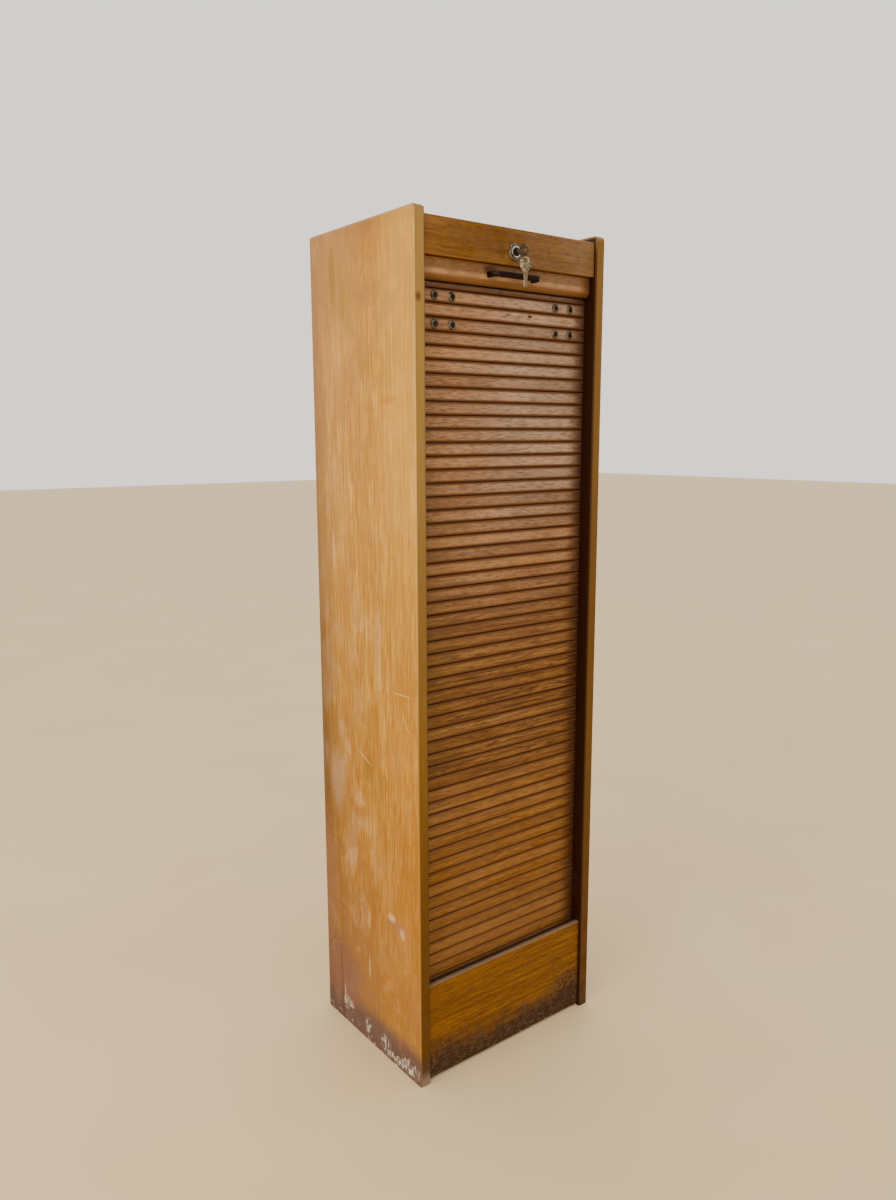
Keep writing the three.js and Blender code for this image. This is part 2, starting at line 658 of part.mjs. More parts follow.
// Cylinder lock through the fascia, with the cam at the back of its plug
function addLock() {
  const bore = housingRadius + fitGap;
  const seat = fasciaFront - fitGap;
  const rosetteTop = seat - rosetteHeight;
  const roundRadius = rosetteRadius - rosetteRound;
  const roundPlace = rosetteTop + rosetteRound;
  const rosette = [
    [bore, seat], [rosetteRadius, seat],
    ...arcPoints(rosetteRound, roundRadius, roundPlace, 0, -Math.PI / 2, arcSteps),
    [bore, rosetteTop], [bore, seat],
  ];
  addPiece("escutcheon", turned(rosette.reverse(), 0, lockHeight, lockSides), nickel);

  const plugBore = plugRadius + fitGap;
  const housing = [
    [plugBore, housingFront], [housingRadius - housingRound, housingFront],
    [housingRadius, housingFront + housingRound], [housingRadius, housingBack], [plugBore, housingBack],
    [plugBore, housingFront],
  ];
  addPiece("lock_housing", turned(housing, 0, lockHeight, lockSides), nickel);

  const nutFront = fasciaBack + fitGap;
  const nutBack = nutFront + nutThickness;
  const hexagon = rodY(nutRadius, nutFront, nutBack, 0, lockHeight, hexSides);
  const nutBore = rodY(bore, nutFront - overrun, nutBack + overrun, 0, lockHeight, lockSides);
  addPiece("lock_nut", hexagon.subtract(nutBore), zincSteel);

  const lock = new THREE.Group();
  cabinet.add(lock);
  const plugFront = housingFront - plugProud;
  const plugProfile = [
    [0, plugFront], [plugRadius, plugFront], [plugRadius, housingBack], [plugStubRadius, housingBack],
    [plugStubRadius, camBack], [0, camBack],
  ];
  const slotX = keyThickness / 2 + fitGap;
  const slotZ = keyBladeWidth / 2 + fitGap;
  const slotBack = plugFront + keywayDepth;
  const keyway = block(-slotX, slotX, plugFront - overrun, slotBack, lockHeight - slotZ, lockHeight + slotZ);
  const screwFront = camBack + fitGap - camScrewLength;
  const screwBore = rodY(camScrewRadius + fitGap, screwFront - fitGap, camBack + overrun, 0, lockHeight);
  const plug = turned(plugProfile, 0, lockHeight, lockSides).subtract(keyway).subtract(screwBore);
  addPiece("lock_plug", plug, nickel, lock);

  // At rest the cam points down, clear of the strike plate.
  const tip = camReach - camTipRadius;
  const cam = new THREE.Shape();
  cam.absarc(0, 0, camHubRadius, 0, Math.PI, false);
  cam.lineTo(-camTipRadius, -tip);
  cam.absarc(0, -tip, camTipRadius, Math.PI, 2 * Math.PI, false);
  cam.closePath();
  const camBore = rodY(plugStubRadius + fitGap, camFront - overrun, camBack + overrun, 0, 0);
  const camSolid = alongY(cam, camFront, camBack, 2 * arcSteps).subtract(camBore);
  addPiece("lock_cam", camSolid.translate([0, 0, lockHeight]), zincSteel, lock);

  const headFront = camBack + fitGap;
  const headBack = headFront + camScrewHeadHeight;
  const screw = [
    [0, screwFront], [camScrewRadius, screwFront], [camScrewRadius, headFront],
    [camScrewHeadRadius, headFront], [camScrewHeadRadius, headBack], [0, headBack],
  ];
  addPiece("cam_screw", turned(screw, 0, lockHeight, screwSides), zincSteel, lock);
}

// A flat key, tip towards +u: the bow's far end is at -bowLength - neck, and the blade starts at 0.
function keyShape(neck, bladeLength) {
  const half = keyBladeWidth / 2;
  const bowHalf = keyBowWidth / 2;
  const bowEnd = -neck - keyBowLength;
  const shape = new THREE.Shape();
  shape.moveTo(-neck, -half);
  for (let cut = 0; cut < keyCutCount; cut += 1) {
    const start = keyCutPitch * (cut + 1);
    shape.lineTo(start - keyCutPitch / 2, -half);
    shape.lineTo(start, -half + keyCutDepth * (cut % 2 === 0 ? 1 : 1 / 2));
  }
  shape.lineTo(bladeLength - keyTip, -half);
  shape.lineTo(bladeLength, -half + keyTip);
  shape.lineTo(bladeLength, half - keyTip);
  shape.lineTo(bladeLength - keyTip, half);
  shape.lineTo(-neck, half);
  shape.quadraticCurveTo(-neck - keyBowCorner, bowHalf, -neck - keyBowLength / 2, bowHalf);
  shape.quadraticCurveTo(bowEnd + keyBowCorner / 2, bowHalf, bowEnd, half);
  shape.quadraticCurveTo(bowEnd - keyTip, 0, bowEnd, -half);
  shape.quadraticCurveTo(bowEnd + keyBowCorner / 2, -bowHalf, -neck - keyBowLength / 2, -bowHalf);
  shape.quadraticCurveTo(-neck - keyBowCorner, -bowHalf, -neck, -half);
  return shape;
}

// The key in the lock, a ring through its bow and a spare key on the ring
function addKeys() {
  const plugFront = housingFront - plugProud;
  const bladeStart = plugFront;
  const bladeReach = keywayDepth - slideGap;
  const holeInset = keyHoleEdge + keyHoleRadius;
  const holePlace = bladeStart - keyNeck - keyBowLength + holeInset;
  const half = keyThickness / 2;
  const hole = (u, v) => {
    const path = new THREE.Path();
    path.absarc(u, v, keyHoleRadius, 0, 2 * Math.PI, true);
    return path;
  };

  const inserted = keyShape(keyNeck, bladeReach);
  inserted.holes.push(hole(-keyNeck - keyBowLength + holeInset, 0));
  const key = alongX(inserted, -half, half, 2 * arcSteps).translate([0, bladeStart, lockHeight]);
  addPiece("key", key, brassy);

  const ringTop = lockHeight - keyHoleRadius + hangGap + ringWire;
  const ringCentre = ringTop - ringRadius;
  const torus = new THREE.TorusGeometry(ringRadius, ringWire, wireSides, ringSteps).rotateX(Math.PI / 2);
  addPiece("key_ring", solidOf(torus).translate([0, holePlace, ringCentre]), agedSteel);

  const wireLow = ringCentre - ringRadius;
  const spareHole = wireLow + ringWire + hangGap - keyHoleRadius;
  const spare = keyShape(0, keyBladeLength);
  spare.holes.push(hole(-keyBowLength + holeInset, 0));
  const hung = alongX(spare, -half, half, 2 * arcSteps)
    .rotate([-90, 0, 0])
    .translate([0, 0, spareHole - (keyBowLength - holeInset)])
    .rotate([0, 0, THREE.MathUtils.radToDeg(spareTurn)])
    .translate([0, holePlace, 0]);
  addPiece("spare_key", hung, brassy);
}

addCarcass();
addLeadRail();
addSlats();
addCurtain();
addStrike();
addSlatScrews();
addLock();
addKeys();

// The origin is under the middle of the whole object, keys included.
const reach = new THREE.Box3().setFromObject(cabinet);
cabinet.position.y = -(reach.min.y + reach.max.y) / 2;

export default cabinet;
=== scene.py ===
# %% [markdown]
# # A tall tambour door cabinet
#
# A narrow oak filing cabinet with a door of slats. The slats are glued to canvas and their ends run in a
# groove routed in the two sides, so the whole door slides down behind the plinth. The solids and their
# places come from a fixed frame that was made beforehand. Each cell below adds what a close look needs:
# rounded and worn edges, grain, grime, screws and a lock. All sizes are in metres, and `mm` turns a size in
# millimetres into metres.

# %% Load the frame
import json
import math
import random
from contextlib import contextmanager
import bmesh
import bpy
from mathutils import Matrix, Vector

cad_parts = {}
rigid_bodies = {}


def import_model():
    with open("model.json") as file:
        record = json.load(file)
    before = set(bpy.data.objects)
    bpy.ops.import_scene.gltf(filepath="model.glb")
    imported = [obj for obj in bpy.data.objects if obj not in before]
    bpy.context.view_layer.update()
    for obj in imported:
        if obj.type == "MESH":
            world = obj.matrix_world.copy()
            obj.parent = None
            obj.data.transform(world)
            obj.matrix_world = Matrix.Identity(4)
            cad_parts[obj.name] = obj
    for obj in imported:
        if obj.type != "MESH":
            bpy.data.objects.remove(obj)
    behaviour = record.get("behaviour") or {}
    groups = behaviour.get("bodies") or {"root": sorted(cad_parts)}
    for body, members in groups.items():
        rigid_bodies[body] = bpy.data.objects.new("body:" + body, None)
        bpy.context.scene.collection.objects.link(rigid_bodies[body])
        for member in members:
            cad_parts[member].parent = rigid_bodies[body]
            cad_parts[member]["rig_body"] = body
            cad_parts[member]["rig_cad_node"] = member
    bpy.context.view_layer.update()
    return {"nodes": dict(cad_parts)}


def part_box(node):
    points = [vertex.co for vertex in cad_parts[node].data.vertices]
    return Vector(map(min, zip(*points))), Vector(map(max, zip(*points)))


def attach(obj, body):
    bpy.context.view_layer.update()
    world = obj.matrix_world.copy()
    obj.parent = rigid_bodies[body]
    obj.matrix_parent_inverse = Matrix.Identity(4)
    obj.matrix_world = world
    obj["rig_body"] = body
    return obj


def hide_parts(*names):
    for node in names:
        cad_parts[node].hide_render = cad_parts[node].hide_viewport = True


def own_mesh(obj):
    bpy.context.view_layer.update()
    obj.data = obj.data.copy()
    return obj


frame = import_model()
mm = 0.001
X, Y, Z = 0, 1, 2
side_low, side_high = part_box("side_panel_left")
front = side_low.y
print("nodes:", len(frame["nodes"]), "front plane at y =", round(front / mm, 2), "mm")

# %% [markdown]
# ## Camera
#
# A camera can be placed by hand, but here its direction was worked out from the edges of the cabinet that
# should be upright or level. Three numbers give the direction: a turn to the right of straight ahead, a tilt
# down and a very small roll. The camera's own axes are right, up and backwards, and they are the columns of
# its matrix.

# %% Place the camera
turn, tilt, roll = math.radians(37.516), math.radians(9.923), -0.0031
ahead = Vector((math.sin(turn) * math.cos(tilt), math.cos(turn) * math.cos(tilt), -math.sin(tilt)))
level = Vector((math.cos(turn), -math.sin(turn), 0))
upright = level.cross(ahead)
right = math.cos(roll) * level + math.sin(roll) * upright
up = math.cos(roll) * upright - math.sin(roll) * level
lens = bpy.data.cameras.new("camera")
lens.lens = 27.898
lens.sensor_width = 36
camera = bpy.data.objects.new("camera", lens)
bpy.context.scene.collection.objects.link(camera)
camera.matrix_world = Matrix((right, up, -ahead)).transposed().to_4x4()
camera.location = (-1.0050, front - 1.1311, 1.0712)
bpy.context.scene.camera = camera
print("camera at", [round(value, 3) for value in camera.location])

# %% [markdown]
# ## One function for nodes
#
# A material is a small network. Writing `nodes.new` and `links.new` for each step hides the idea, so one
# function adds a node, sets it and links it, and gives back its first output. A colour is written as people
# pick it, as an sRGB code, and turned into the linear value that the renderer uses.


# %% Helpers for materials
def shade(code):
    """A linear colour from an sRGB hex code."""
    parts = [int(code[start:start + 2], 16) / 255 for start in (1, 3, 5)]
    return tuple(p / 12.92 if p <= 0.04045 else ((p + 0.055) / 1.055) ** 2.4 for p in parts) + (1,)


def add(tree, kind, inputs={}, **settings):
    """Adds a node. A socket among its inputs is linked, and any other value is set."""
    node = tree.nodes.new("ShaderNode" + kind)
    for name, value in settings.items():
        setattr(node, name, value)
    for name, value in inputs.items():
        socket = next(s for i, s in enumerate(node.inputs) if s.enabled and name in (i, s.name))
        if isinstance(value, bpy.types.NodeSocket):
            tree.links.new(value, socket)
        else:
            socket.default_value = value
    return next(output for output in node.outputs if output.enabled)


def new_finish(name, **sockets):
    """A material, its tree, its shader, and where a point lies on the cabinet, in millimetres."""
    finish = bpy.data.materials.new(name)
    finish.use_nodes = True
    tree = finish.node_tree
    shader = tree.nodes["Principled BSDF"]
    for socket, value in sockets.items():
        shader.inputs[socket.replace("_", " ")].default_value = value
    metres = add(tree, "TexCoord").node.outputs["Object"]
    return finish, tree, shader, add(
        tree, "VectorMath", {0: metres, 1: (1000, 1000, 1000)}, operation="MULTIPLY")


SMOOTH = {"interpolation_type": "SMOOTHSTEP"}
WAVE = math.tau / 20  # the scale of a wave texture whose bands are one unit apart
print("oak brown in linear light:", [round(value, 3) for value in shade("#93621f")])

# %% [markdown]
# ## Timber
#
# Oak shows three patterns at once. The annual rings are cut into long arches, 4 to 16 mm apart. Fibres make
# fine streaks along the board, and the open pores are short dark ticks. Real pores are about 0.3 mm wide,
# and they are drawn nearly 2 mm wide here, so that they show. All three come from textures whose space is
# squeezed along the grain, which stretches the pattern: simpler than an image, and it runs through the board
# as real grain does.


# %% Grain for any board
def timber(tree, place, along, facing, centre, tones, spacing, rings, grain=1.0):
    """Colour and height of an oiled or varnished oak board. Tones are pale, body and dark wood."""
    pale, body, dark = [shade(tone) for tone in tones]
    moved = add(tree, "VectorMath", {0: place, 1: centre}, operation="SUBTRACT")
    stretched = {}
    for name, share in {"rings": 0.07, "streaks": 0.05, "fibres": 0.03, "pores": 0.07}.items():
        squeeze = tuple(share if axis == along else 1 for axis in (X, Y, Z))
        stretched[name] = add(tree, "VectorMath", {0: moved, 1: squeeze}, operation="MULTIPLY")
    arches = add(tree, "TexWave", {
        "Vector": stretched["rings"], "Scale": WAVE / spacing, "Distortion": 9.0,
        "Detail": 3.0, "Detail Scale": 1.3, "Detail Roughness": 0.6,
    }, wave_type="RINGS", rings_direction="XYZ"[facing], wave_profile="SAW")
    shares = [add(tree, "Math", {0: arches, 1: rings}, operation="MULTIPLY")]
    for name, size, detail, rough, start, full, most in (
            ("streaks", 7, 3.0, 0.5, 0.35, 0.65, 1.0),
            ("fibres", 4, 5.0, 0.8, 0.47, 0.6, 0.8 * grain),
            ("pores", 1.8, 2.0, 0.5, 0.56, 0.64, 0.75 * grain)):
        noise = add(tree, "TexNoise", {
            "Vector": stretched[name], "Scale": 1 / size, "Detail": detail, "Roughness": rough})
        ends = {"Value": noise, "From Min": start, "From Max": full, "To Max": most}
        shares.append(add(tree, "MapRange", ends, **SMOOTH))
    arch, streak, fibre, pore = shares
    colour = add(tree, "Mix", {"Factor": streak, "A": body, "B": pale}, data_type="RGBA")
    for share in (arch, fibre, pore):
        colour = add(tree, "Mix", {"Factor": share, "A": colour, "B": dark}, data_type="RGBA")
    height = add(tree, "Math", {0: fibre, 1: pore}, operation="ADD")
    return colour, add(tree, "Math", {0: 1.0, 1: height}, operation="SUBTRACT")


print("timber is ready")

# %% [markdown]
# ## Stains and wear
#
# Wear is laid over the wood in coats, as a restorer lays stain. A coat is a colour, a strength and the masks
# that let it on. A mask is a number from 0 to 1: it comes from a place on the board, from a noise, or from
# the direction that the surface faces, which finds the rounded arrises. A single blot has a mask of its own
# with a ragged outline. Each finish below has its noises and masks in tables, so that they can be read and
# changed at a glance.


# %% Masks and coats
def masks_of(tree, place, noises, soft, straight={}):
    """Masks by name, from noises (size in mm, detail, roughness, squeeze) and from values (start, end)."""
    masks = {}
    for name, (size, detail, rough, *squeeze) in noises.items():
        squeezed = add(tree, "VectorMath", {0: place, 1: squeeze or (1, 1, 1)}, operation="MULTIPLY")
        masks[name] = add(tree, "TexNoise", {
            "Vector": squeezed, "Scale": 1 / size, "Detail": detail, "Roughness": rough})
    for table, blend in ((soft, "SMOOTHSTEP"), (straight, "LINEAR")):
        for name, (value, start, full) in table.items():
            value = masks[value] if isinstance(value, str) else value
            ends = {"Value": value, "From Min": start, "From Max": full}
            masks[name] = add(tree, "MapRange", ends, interpolation_type=blend)
    return masks


def arris_of(tree):
    """1 where two faces meet in a rounded arris, 0 on the flats, from the direction the surface faces."""
    facing = add(tree, "TexCoord").node.outputs["Normal"]
    x, y, z = add(tree, "SeparateXYZ", {0: facing}).node.outputs
    total = 0.0
    for a, b in ((x, y), (y, z), (z, x)):
        product = add(tree, "Math", {0: a, 1: b}, operation="MULTIPLY")
        size = add(tree, "Math", {0: product}, operation="ABSOLUTE")
        total = add(tree, "Math", {0: total, 1: size}, operation="ADD")
    return add(tree, "MapRange", {"Value": total, "From Min": 0.12, "From Max": 0.42}, **SMOOTH)


def mark(tree, across, z, centre, reach, rough=0.5, slope=0.0):
    """1 on a blot of a board's face, 0 beyond its reach across and up, broken by a noise. A slope tips it."""
    point = add(tree, "CombineXYZ", {0: across, 1: z})
    ragged = add(tree, "TexNoise", {"Vector": point, "Scale": 1 / 7, "Detail": 4.0})
    moved = add(tree, "VectorMath", {0: point, 1: (*centre, 0)}, operation="SUBTRACT")
    if slope:
        aside, rise, _ = add(tree, "SeparateXYZ", {0: moved}).node.outputs
        rise = add(tree, "Math", {0: aside, 1: -slope, 2: rise}, operation="MULTIPLY_ADD")
        moved = add(tree, "CombineXYZ", {0: aside, 1: rise})
    shares = add(tree, "VectorMath", {0: moved, 1: (1 / reach[0], 1 / reach[1], 0)}, operation="MULTIPLY")
    far = add(tree, "VectorMath", {0: shares}, operation="LENGTH").node.outputs["Value"]
    far = add(tree, "Math", {0: ragged, 1: rough, 2: far}, operation="MULTIPLY_ADD")
    return add(
        tree, "MapRange", {"Value": far, "From Min": 1.0 + rough / 2, "From Max": rough / 2 + 0.4}, **SMOOTH)


def paint(tree, colour, masks, coats):
    """Lays coats over a colour. A line of text is one coat: a hex code, a strength and its masks' names."""
    for coat in coats.strip().splitlines():
        code, strength, *names = coat.split()
        share = 1.0
        for name in names:
            share = add(tree, "Math", {0: share, 1: masks[name]}, operation="MULTIPLY")
        share = add(tree, "Math", {0: share, 1: float(strength)}, operation="MULTIPLY", use_clamp=True)
        colour = add(tree, "Mix", {"Factor": share, "A": colour, "B": shade(code)}, data_type="RGBA")
    return colour


def connect(tree, shader, colour, height, depth, dull=None):
    """Links a colour and a relief of that depth to the shader, and makes worn places duller."""
    tree.links.new(colour, shader.inputs["Base Color"])
    bump = add(tree, "Bump", {"Height": height, "Distance": depth, "Strength": 1.0})
    tree.links.new(bump, shader.inputs["Normal"])
    if dull is not None:
        base = shader.inputs["Roughness"].default_value
        rough = add(tree, "MapRange", {"Value": dull, "To Min": base, "To Max": min(1, base + 0.35)})
        tree.links.new(rough, shader.inputs["Roughness"])


print("masks_of, arris_of, mark, paint and connect are ready")

# %% [markdown]
# ## The veneered sides
#
# The sides are blockboard faced with oak veneer and sealed with shellac, which glows golden. Long use shows
# on them: a dull mauve area low down at the back, as where damp has lifted the shellac, and scuffs along the
# floor. Part of their colour is painted light: pale painted highlights on the outer arrises, painted shade on
# the rounded top and back edges, drawn as a darker border and a grey band along the back edge, painted shade
# on the front edge's arrises and on the inner faces in front of the door, dark wax and painted shade in the
# groove, and a painted shade that deepens towards the back and the floor. The upright dashes are pores filled
# with wax or dirt, drawn a little over 2 mm wide so that they show.

# %% Oak veneer, shellacked: noises and masks
side_veneer, tree, shader, place = new_finish(
    "oak_veneer_shellacked", Roughness=0.45, Specular_IOR_Level=0.14)
x, y, z = add(tree, "SeparateXYZ", {0: place}).node.outputs
deep = add(tree, "Math", {0: y, 1: front / mm}, operation="SUBTRACT")
out = add(tree, "Math", {0: x}, operation="ABSOLUTE")
from_middle = add(
    tree, "Math", {0: out, 1: (abs(side_low.x) + abs(side_high.x)) / 2 / mm}, operation="SUBTRACT")
off_middle = add(tree, "Math", {0: from_middle}, operation="ABSOLUTE")  # from the middle of the thickness
masks = masks_of(tree, place, noises={
    "wide": (170, 2.0, 0.5), "patches": (42, 4.0, 0.6), "flakes": (7, 5.0, 0.65, 1, 0.4, 1),
    "scores": (3.2, 1.0, 0.5, 1, 1, 0.02), "blotches": (45, 4.0, 0.6, 1, 1, 0.5),
    "dashes": (2.4, 4.0, 0.65, 1, 1, 0.06), "drips": (3, 3.0, 0.5, 1, 1, 0.25),
}, soft={
    # The last mask on the next line finds both arrises of the front edge, which a painted shade darkens.
    "inner": (out, 179, 177.5), "outer": (out, 193, 195.5), "rim": (off_middle, 5.5, 8.5),
    # The second mask on the next line lays a near black painted shade on the inner faces in front of the door.
    "front": (deep, 2.6, 0.6), "before_door": (deep, 40, 30), "fore": (deep, 130, 40), "rear": (deep, 90, 240),
    # The last mask on the next line is the rounded back edge, painted as a grey band of shade.
    "far_back": (deep, 215, 292), "near_back": (deep, 245, 299), "back": (deep, 288, 296),
    "near_top": (z, 1366, 1393), "crown": (z, 1120, 1330), "upper": (z, 500, 1150), "raised": (z, 350, 750),
    "below": (z, 1300, 700), "half_down": (z, 950, 550), "lower": (z, 620, 120), "veil": (z, 320, 60),
    "foot": (z, 72, 12), "low_edge": (z, 30, 6),
    "cloud": ("wide", 0.4, 0.62), "patch": ("patches", 0.42, 0.6), "haze": ("patches", 0.6, 0.68),
    "flake": ("flakes", 0.6, 0.64), "line": ("scores", 0.46, 0.6), "score": ("scores", 0.7, 0.74),
    "hazy": ("blotches", 0.5, 0.62), "dingy": ("blotches", 0.5, 0.4), "drip": ("drips", 0.44, 0.54),
    "dark_dash": ("dashes", 0.5, 0.6), "pale_dash": ("dashes", 0.46, 0.36),
}, straight={
    # The first three masks on the next line and the one under it find the groove, painted near black with dark
    # wax and painted shade.
    "in_groove": (out, 191, 189), "behind_front": (deep, 3, 5), "before_back": (deep, 292, 290),
    "under_top": (z, 1350, 1346), "left": (x, -193, -195.5), "left_half": (x, 1, -1), "right_half": (x, -1, 1),
})
ragged_by = 60.0  # how far the noise shifts the edge of the strip up and down
wavy = add(tree, "Math", {0: masks["patches"], 1: ragged_by, 2: z}, operation="MULTIPLY_ADD")
masks["strip"] = add(tree, "MapRange", {"Value": wavy, "From Min": 112.0, "From Max": 66.0}, **SMOOTH)
# With the mask that grows towards the back, the next one lays a painted shade on the left side's outer face,
# deeper towards the floor.
masks["downwards"] = add(
    tree, "MapRange", {"Value": z, "From Min": 1350.0, "From Max": 550.0, "To Min": 0.22})
# A painted shade along the rounded top and back edges of the outer face, drawn as a darker border.
masks["border"] = add(tree, "Math", {0: masks["near_top"], 1: masks["near_back"]}, operation="MAXIMUM")
# The arrises that this mask finds are painted pale on the outer face as painted highlight, less bright near
# the top.
masks["arris"] = arris_of(tree)
masks["knock"] = mark(tree, x, z, (-189, 1272), (7, 9))
print("masks for the sides:", len(masks))

# %% Oak veneer, shellacked: coats over the whole board
colour, height = timber(
    tree, place, Z, X, (0, 45, 1180), ("#e3ab3b", "#bd7e1e", "#6f4108"), spacing=6.0, rings=0.5, grain=0.6)
colour = paint(tree, colour, masks, """
    #d9a048 0.35 upper cloud
    #8a5a14 0.35 line outer
    #7d501f 0.65 border outer
    #8a5208 0.82 lower
    #a67422 0.4 upper haze
    #8c5e26 0.4 rear half_down outer
    #ad8c6e 0.5 rear half_down hazy outer
    #8a5a10 0.45 half_down dingy outer
    #c99c60 0.2 hazy outer
    #a5660a 0.35 half_down fore outer
    #a8762c 0.3 dingy upper outer
    #8a5a1c 0.28 dark_dash outer
    #e2b878 0.25 pale_dash outer
    #74492f 0.9 lower rear patch
    #8a6238 0.4 veil outer
    #6d4634 0.5 veil rear outer
    #6d4c3f 0.9 foot patch
    #c99a6c 0.3 lower haze
    #84694f 0.6 back
    #e6bd85 0.22 score outer
    #80601e 0.8 front
    #4f2e06 0.5 front right_half
    #543206 0.6 front below
    #4c2700 0.6 front lower
    #43301f 0.75 front foot
    #9a7040 0.7 inner
    #1f0c04 0.97 inner before_door
    #4e300a 0.55 front rim
    #2a1206 0.95 in_groove behind_front before_back under_top
    #e6c480 0.7 arris outer upper
    #c08f48 0.5 arris outer
    #7c5a2c 0.75 arris near_top
    #9a5f10 0.25 crown outer
    #8a6440 0.5 crown patch outer
    #a06c1c 0.35 patch outer
    #cfa070 0.15 upper rear outer
    #e3b04c 0.3 upper fore outer
    #b08e4c 0.1 front left_half raised
    #b09468 0.14 front left_half upper
    #94806c 0.6 front left_half low_edge
    #4c3410 0.75 front left_half knock
    #4a301a 0.6 far_back downwards left
    #55423b 0.9 strip outer
    #d2c0aa 0.75 low_edge flake outer
""")
print(side_veneer.name, "has", len(tree.nodes), "nodes so far")

# %% [markdown]
# Single marks make the difference between worn and dirty. Each has a colour, a strength, its place behind
# the front and above the floor, its reach and its roughness, all in millimetres. The scratches also have a
# slope. Lime from mopping lies in drips, which a noise that is stretched upwards gives.

# %% Oak veneer, shellacked: single marks on the left side
marks = {
    "flame of darker grain": ("#85600c", 0.8, (228, 1325), (13, 60), 0.8),
    "its tail": ("#8f6a16", 0.7, (198, 1285), (8, 45), 0.8),
    "olive cloud round it": ("#9c7630", 0.4, (205, 1300), (70, 95), 1.2),
    "orange smudge": ("#ab6c12", 0.5, (72, 1128), (30, 10), 1.2),
    "rubbed place in the middle": ("#d9b27c", 0.25, (175, 452), (22, 18), 1.5),
    "haze at the back": ("#a58b70", 0.3, (245, 470), (30, 75), 1.5),
    "pale band": ("#cdaa7c", 0.35, (107, 730), (9, 95), 1.0),
    "pale run at the back": ("#dcc09a", 0.35, (244, 882), (4, 48), 0.8),
    "dark blotch": ("#84590f", 0.5, (144, 520), (20, 32), 1.5),
    "worn through": ("#8f6448", 0.6, (64, 262), (32, 18), 1.5),
    "rubbed down to the wood": ("#d0aa88", 0.6, (81, 272), (14, 9), 1.5),
    "second rubbed place": ("#cfa985", 0.5, (50, 254), (10, 12), 1.5),
    "pale run": ("#d9b27c", 0.28, (152, 240), (6, 24), 1.0),
    "mauve bloom of damp": ("#74503e", 0.85, (250, 95), (85, 85), 1.5),
    "dull band above it": ("#8a5d3c", 0.7, (288, 260), (42, 170), 1.5),
    "long scratch": ("#dcc6a4", 0.8, (239, 56), (1.4, 22), 0.5),
    "short scratch": ("#dcc6a4", 0.7, (153, 147), (1.4, 30), 0.5),
    "level scratch": ("#e0c296", 0.5, (44, 669), (34, 1.3), 0.9, -0.03),
    "steep scratch": ("#e0c296", 0.5, (33, 623), (16, 1.8), 0.9, 1.31),
    "slanting scratch": ("#e0c296", 0.5, (156, 534), (26, 1.8), 0.9, 0.44),
    "lime at the back corner": ("#c8bbaf", 0.7, (228, 38), (20, 16), 2.0),
    "lime like a scribble": ("#c8bbaf", 0.7, (162, 28), (10, 18), 2.0),
    "lime in the middle": ("#c8bbaf", 0.7, (107, 22), (18, 20), 2.0),
    "lime along the floor": ("#c8bbaf", 0.7, (70, 12), (60, 8), 2.0),
    "lime at the front corner": ("#c8bbaf", 0.7, (30, 20), (30, 17), 2.0),
}
for name, (code, strength, *shape) in marks.items():
    masks["blot"] = mark(tree, deep, z, *shape)
    colour = paint(tree, colour, masks, f"{code} {strength} left blot {'drip' if 'lime' in name else ''}")
dull = add(tree, "Math", {0: masks["lower"], 1: masks["patch"]}, operation="MULTIPLY")
connect(tree, shader, colour, height, 0.12 * mm, dull)
print(side_veneer.name, "has", len(marks), "marks and", len(tree.nodes), "nodes")

# %% [markdown]
# ## Solid oak in front
#
# The fascia, the lead rail, the plinth and the slats are solid oak with their grain lying across the
# cabinet. They are darker than the sides, because they were stained before they were varnished. Their wear
# differs: the lead rail is rubbed by hands, and the plinth is kicked and mopped, so dirt climbs up it from the
# floor. Light is painted on them too: a pale band of painted highlight and wear along the bend of the rail's
# lower edge, painted shade under that edge and at the rail's right end, a painted highlight with wear on the
# plinth's top edge and painted shade behind it, and a pale grey painted reflection right of the middle.

# %% Stained oak of the fascia, the lead rail and the top
front_oak, tree, shader, place = new_finish("stained_oak_varnished", Roughness=0.4, Specular_IOR_Level=0.15)
x, y, z = add(tree, "SeparateXYZ", {0: place}).node.outputs
colour, height = timber(
    tree, place, X, Y, (30, 0, 1368), ("#7d5416", "#6d450d", "#4f2f08"), spacing=5.0, rings=0.12, grain=0.55)
rail_low, rail_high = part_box("lead_rail")
grip_low, grip_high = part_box("handle")
rose_low, rose_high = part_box("escutcheon")
rail_top = rail_high.z / mm
off_centre = add(tree, "Math", {0: x}, operation="ABSOLUTE")
# A band along the bend of the rail's rounded lower edge is painted pale, as painted highlight and wear.
above_bend = add(tree, "Math", {0: z, 1: rail_top - 20.0}, operation="SUBTRACT")
off_bend = add(tree, "Math", {0: above_bend}, operation="ABSOLUTE")
masks = masks_of(tree, place, noises={
    "patches": (30, 4.0, 0.5), "dashes": (2.4, 3.0, 0.6, 0.18, 1, 1),
}, soft={
    "patch": ("patches", 0.42, 0.66), "dash": ("dashes", 0.5, 0.62), "near_handle": (off_centre, 95, 25),
    # The first mask on the next line lays painted shade on the rail's right end, by the right side.
    "at_right": (x, 146, 174), "bloom": (x, -60, 130), "rubbed": (off_bend, 6, 1.5),
    # The next mask is the rail's rounded lower edge, which faces the floor and is painted dark as shade.
    "low_front": (z, rail_top - 21, rail_top - 27),
}, straight={"rail": (z, rail_top + 0.2, rail_top - 0.2)})
masks["arris"] = arris_of(tree)
masks["by_handle"] = mark(tree, x, z, (-41, grip_low.z / mm + 12), (19, 9))
masks["by_lock"] = mark(tree, x, z, (-27, rose_low.z / mm + 12), (10, 17))
